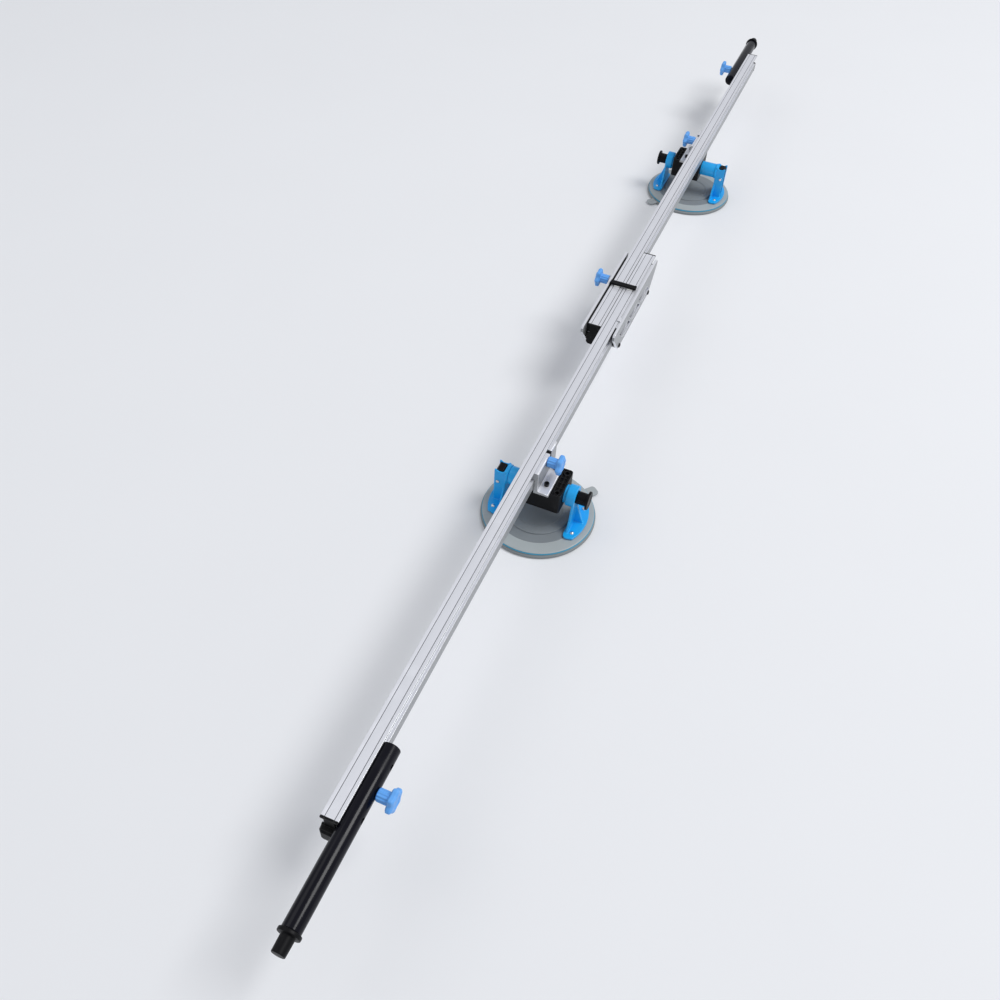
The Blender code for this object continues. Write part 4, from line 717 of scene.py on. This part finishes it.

# %% [markdown]
# The pump's spring is hidden in the tube, and it flattens towards its seat as the plunger goes in. A
# finer coil is swept here, and it rides on the spring's body.

# %% Springs
def coil(name, start, end, spot, radius=0.0095, wire=0.0008, turns=6, steps=28, corners=8):
    work = bmesh.new()
    rings = []
    count = turns * steps
    for step in range(count + 1):
        angle = 2 * math.pi * step / steps
        outward = Vector((math.cos(angle), 0.0, math.sin(angle)))
        centre = Vector((spot.x, start + (end - start) * step / count, spot.z)) + outward * radius
        ring = []
        for corner in range(corners):
            turn = 2 * math.pi * corner / corners
            rise = Vector((0.0, wire * math.sin(turn), 0.0))
            ring.append(work.verts.new(centre + outward * wire * math.cos(turn) + rise))
        rings.append(ring)
    for low, high in zip(rings, rings[1:]):
        for corner in range(corners):
            after = (corner + 1) % corners
            work.faces.new((low[corner], low[after], high[after], high[corner]))
    work.faces.new(rings[0])
    work.faces.new(tuple(reversed(rings[-1])))
    bmesh.ops.recalc_face_normals(work, faces=work.faces)
    return link(name, mesh_of(work, name), 60.0)


WIRE = 0.0008
for side in ("near", "far"):
    low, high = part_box(f"{side}_cup_pump_spring")
    middle = (low + high) / 2
    spring = coil(f"{side}_cup_pump_spring_finished", low.y + WIRE, high.y - WIRE, middle)
    stand_for(f"{side}_cup_pump_spring", spring)
    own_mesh(spring)

# %% [markdown]
# A star knob has a fluted hub for the fingertips and a star head for the palm. Both outlines are circles
# whose radius dips by a cosine, twelve times round for the hub and six for the star, so one function
# that bends the lathe's circle makes the whole knob. The head's face has a shallow round well.

# %% Star knobs
HUB_LENGTH = 0.0170
HEAD_END = 0.0265
NECK = 0.0105
STUD_RADIUS = 0.0028


def star_reach(radius, height, angle):
    along = abs(height)
    if along > HUB_LENGTH - 0.0001 and radius > NECK:
        part = min(1.0, (radius - NECK) / 0.0045)
        wave = (1 - math.cos(6 * angle)) / 2
        return radius - 0.0036 * part * wave ** 0.8
    if 0.0005 < along < HUB_LENGTH and radius > 0.006:
        return radius - 0.0009 * (1 - math.cos(12 * angle)) / 2
    return radius


def star_knob(node, out):
    low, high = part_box(node)
    middle = (low + high) / 2
    face = high.y if out > 0 else low.y
    tip = low.y if out > 0 else high.y
    seat = face - out * HEAD_END
    local = [
        (0.0080, 0.0),
        (0.0092, 0.0010),
        (0.0092, HUB_LENGTH - 0.0012),
        (0.0100, HUB_LENGTH),
        (0.0150, HUB_LENGTH),
        (0.0180, HUB_LENGTH + 0.0018),
        (0.0180, HEAD_END - 0.0024),
        (0.0150, HEAD_END - 0.0002),
        (0.0088, HEAD_END),
        (0.0080, HEAD_END - 0.0010),
        (0.0, HEAD_END - 0.0010),
    ]
    profile = [(0.0, tip - seat), (STUD_RADIUS, tip - seat), (STUD_RADIUS, 0.0)]
    profile += [(radius, out * height) for radius, height in local]
    spun = rounded(profile, 0.0011, 4)

    def bent(radius, height, angle):
        return star_reach(radius, height, angle) if height * out > 0 else radius

    return turned(f"{node}_finished", spun, "Y", (middle.x, seat, middle.z), sides=144, ring=bent)


for node, out in (
    ("near_carriage_knob", -1.0),
    ("near_handle_knob", -1.0),
    ("far_carriage_knob", 1.0),
    ("far_handle_knob", 1.0),
    ("bracket_knob", 1.0),
):
    stand_for(node, star_knob(node, out))
print("star knobs: 5")

# %% [markdown]
# A grip handle is a painted tube, closed by a plug with a collar and a stub. It has a hole for the knob's
# stud and two wider ones that let a key reach the screws inside. A tube is turned first, and the holes are
# then cut with a Boolean, which is applied so that the mesh is final.

# %% Handle tubes and plugs
def drilled(item, drills):
    for drill in drills:
        cut = item.modifiers.new(drill.name, "BOOLEAN")
        cut.operation = "DIFFERENCE"
        cut.solver = "EXACT"
        cut.object = drill
    view = item.evaluated_get(bpy.context.evaluated_depsgraph_get())
    rough = item.data
    item.data = bpy.data.meshes.new_from_object(view)
    item.modifiers.clear()
    bpy.data.meshes.remove(rough)
    for drill in drills:
        bpy.data.objects.remove(drill, do_unlink=True)
    item.data.shade_smooth()
    item.data.set_sharp_from_angle(angle=math.radians(38.0))
    return item


STUD_BORE = 0.0033
KEY_BORE = 0.0045
SCREW_BORE = 0.0023
SCREW_SPACING = 0.0380
DRILL_REACH = 0.020
for side in ("near", "far"):
    out = facing(side)
    low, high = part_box(f"{side}_handle_tube")
    print(side, "handle tube length:", round(high.x - low.x, 3), "m")
    middle = (low + high) / 2
    end = low.x if side == "near" else high.x
    inner = high.x if side == "near" else low.x
    toward = 1.0 if side == "near" else -1.0
    tube = turned(f"{side}_handle_tube_finished", rounded([
        (0.0, inner),
        (0.0130, inner),
        (0.0130, end),
        (0.0110, end),
        (0.0110, inner - toward * 0.0020),
        (0.0, inner - toward * 0.0020),
    ], 0.0016, 4), "X", (0.0, middle.y, middle.z), sides=96)
    knob = sum(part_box(f"{side}_handle_knob"), Vector()) / 2
    reach = DRILL_REACH * out
    stud_drill = [(0.0, reach), (STUD_BORE, reach), (STUD_BORE, -reach), (0.0, -reach)]
    key_drill = [
        (0.0, reach),
        (KEY_BORE, reach),
        (KEY_BORE, 0.0),
        (SCREW_BORE, 0.0),
        (SCREW_BORE, -reach),
        (0.0, -reach),
    ]
    drills = [turned("stud_drill", stud_drill, "Y", (knob.x, middle.y, middle.z), sides=32)]
    for shift in (-SCREW_SPACING, SCREW_SPACING):
        drills.append(turned("key_drill", key_drill, "Y", (knob.x + shift, middle.y, middle.z), sides=32))
    stand_for(f"{side}_handle_tube", drilled(tube, drills))
    low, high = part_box(f"{side}_handle_plug")
    tip = low.x if side == "near" else high.x
    inner = high.x if side == "near" else low.x
    plug = turned(f"{side}_handle_plug_finished", rounded([
        (0.0, inner),
        (0.0107, inner),
        (0.0107, end - toward * 0.0003),
        (0.0155, end - toward * 0.0003),
        (0.0155, end - toward * 0.0053),
        (0.0096, end - toward * 0.0056),
        (0.0092, tip),
        (0.0, tip),
    ], 0.0012), "X", (0.0, middle.y, middle.z), sides=80)
    stand_for(f"{side}_handle_plug", plug)

# %% [markdown]
# The slide bar in the rail's slot is aluminium, but the screws in it are black. They are one solid there,
# so the softened copy keeps one mesh and gives the faces of the screw heads the second finish.

# %% Slide bars
BAR_DEPTH = 0.0075
for side in ("near", "far"):
    node = f"{side}_handle_slide_bar"
    bar = softened(node, 0.0003)
    low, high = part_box(node)
    inner = high.y - BAR_DEPTH if side == "near" else low.y + BAR_DEPTH
    for face in bar.data.polygons:
        outside = face.center.y < inner if side == "near" else face.center.y > inner
        face.material_index = int(outside)
    stand_for(node, bar, "black_steel")
print("slide bars: 2")

# %% [markdown]
# Socket head screws hold the carriage brackets. The hexagon in each head is cut by bending the inner rings
# of the profile from a circle into six flats, so no Boolean is needed.

# %% Socket screws and bolts
def six_flats(radius, height, angle):
    part = angle % (math.pi / 3) - math.pi / 6
    return radius * math.cos(math.pi / 6) / math.cos(part)


def socket_head(node):
    low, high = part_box(node)
    middle = (low + high) / 2
    top = high.z
    profile = [
        (0.0, low.z),
        (0.0024, low.z),
        (0.0024, top - 0.0050),
        (0.0045, top - 0.0050),
        (0.0045, top - 0.0006),
        (0.0039, top),
        (0.0026, top),
        (0.0024, top - 0.0004),
        (0.0024, top - 0.0030),
        (0.0, top - 0.0034),
    ]

    def hexed(radius, height, angle):
        inside = 0.0 < radius < 0.00245 and height > top - 0.0045
        return six_flats(radius, height, angle) if inside else radius

    return turned(f"{node}_finished", profile, "Z", (middle.x, middle.y, 0.0), sides=48, ring=hexed)


for side in ("near", "far"):
    for letter in ("a", "b"):
        stand_for(f"{side}_carriage_screw_{letter}", socket_head(f"{side}_carriage_screw_{letter}"))
for letter in ("a", "b"):
    node = f"bracket_bolt_{letter}"
    low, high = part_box(node)
    middle = (low + high) / 2
    bolt = turned(f"{node}_finished", rounded([
        (0.0, low.y + 0.0008),
        (0.0022, low.y + 0.0008),
        (0.0026, low.y),
        (0.0036, low.y),
        (0.0046, low.y + 0.0008),
        (0.0046, low.y + 0.0020),
        (0.0025, low.y + 0.0020),
        (0.0025, high.y - 0.0020),
        (0.0046, high.y - 0.0020),
        (0.0046, high.y - 0.0008),
        (0.0036, high.y),
        (0.0026, high.y),
        (0.0022, high.y - 0.0008),
        (0.0, high.y - 0.0008),
    ], 0.0003), "Y", (middle.x, 0.0, middle.z), sides=40)
    stand_for(node, bolt)
print("screws and bolts: 6")

# %% [markdown]
# The floor is a plain pale sheet that takes the soft shadow and grounds the object. It isn't part of the
# object. The light is one broad lamp high on the right, a weaker one from the
# other side, and an even pale surround, at a level where a colour renders about as it is written.

# %% Floor and light
sheet = bpy.data.meshes.new("floor")
reach = 30.0
corners = [(-reach, -reach, 0.0), (reach, -reach, 0.0), (reach, reach, 0.0), (-reach, reach, 0.0)]
sheet.from_pydata(corners, [], [(0, 1, 2, 3)])
ground = bpy.data.objects.new("floor", sheet)
ground.location.z = -0.0003
scene.collection.objects.link(ground)
pale = Finish("floor", (0.83, 0.84, 0.86), 0.9)
mottle = pale.noise(3.0, 3.0)
pale.set("Base Color", pale.mix(mottle, pale.shade(0.99), pale.shade(1.01)))
sheet.materials.append(pale.material)


def soft_lamp(name, spot, target, size, power):
    lamp = bpy.data.lights.new(name, "AREA")
    lamp.shape = "DISK"
    lamp.size = size
    lamp.energy = power
    item = bpy.data.objects.new(name, lamp)
    item.location = spot
    item.rotation_euler = (Vector(target) - Vector(spot)).to_track_quat("-Z", "Y").to_euler()
    scene.collection.objects.link(item)
    return item


soft_lamp("key_lamp", (1.5, -5.0, 8.0), (0.0, 0.0, 0.0), 5.0, 520.0)
soft_lamp("fill_lamp", (-1.0, 4.0, 5.0), (0.0, 0.0, 0.0), 4.0, 36.0)
world = bpy.data.worlds.new("surround")
world.use_nodes = True
world.node_tree.nodes["Background"].inputs["Color"].default_value = (0.93, 0.95, 1.0, 1.0)
world.node_tree.nodes["Background"].inputs["Strength"].default_value = 0.50
scene.world = world
print("lamps: 2")
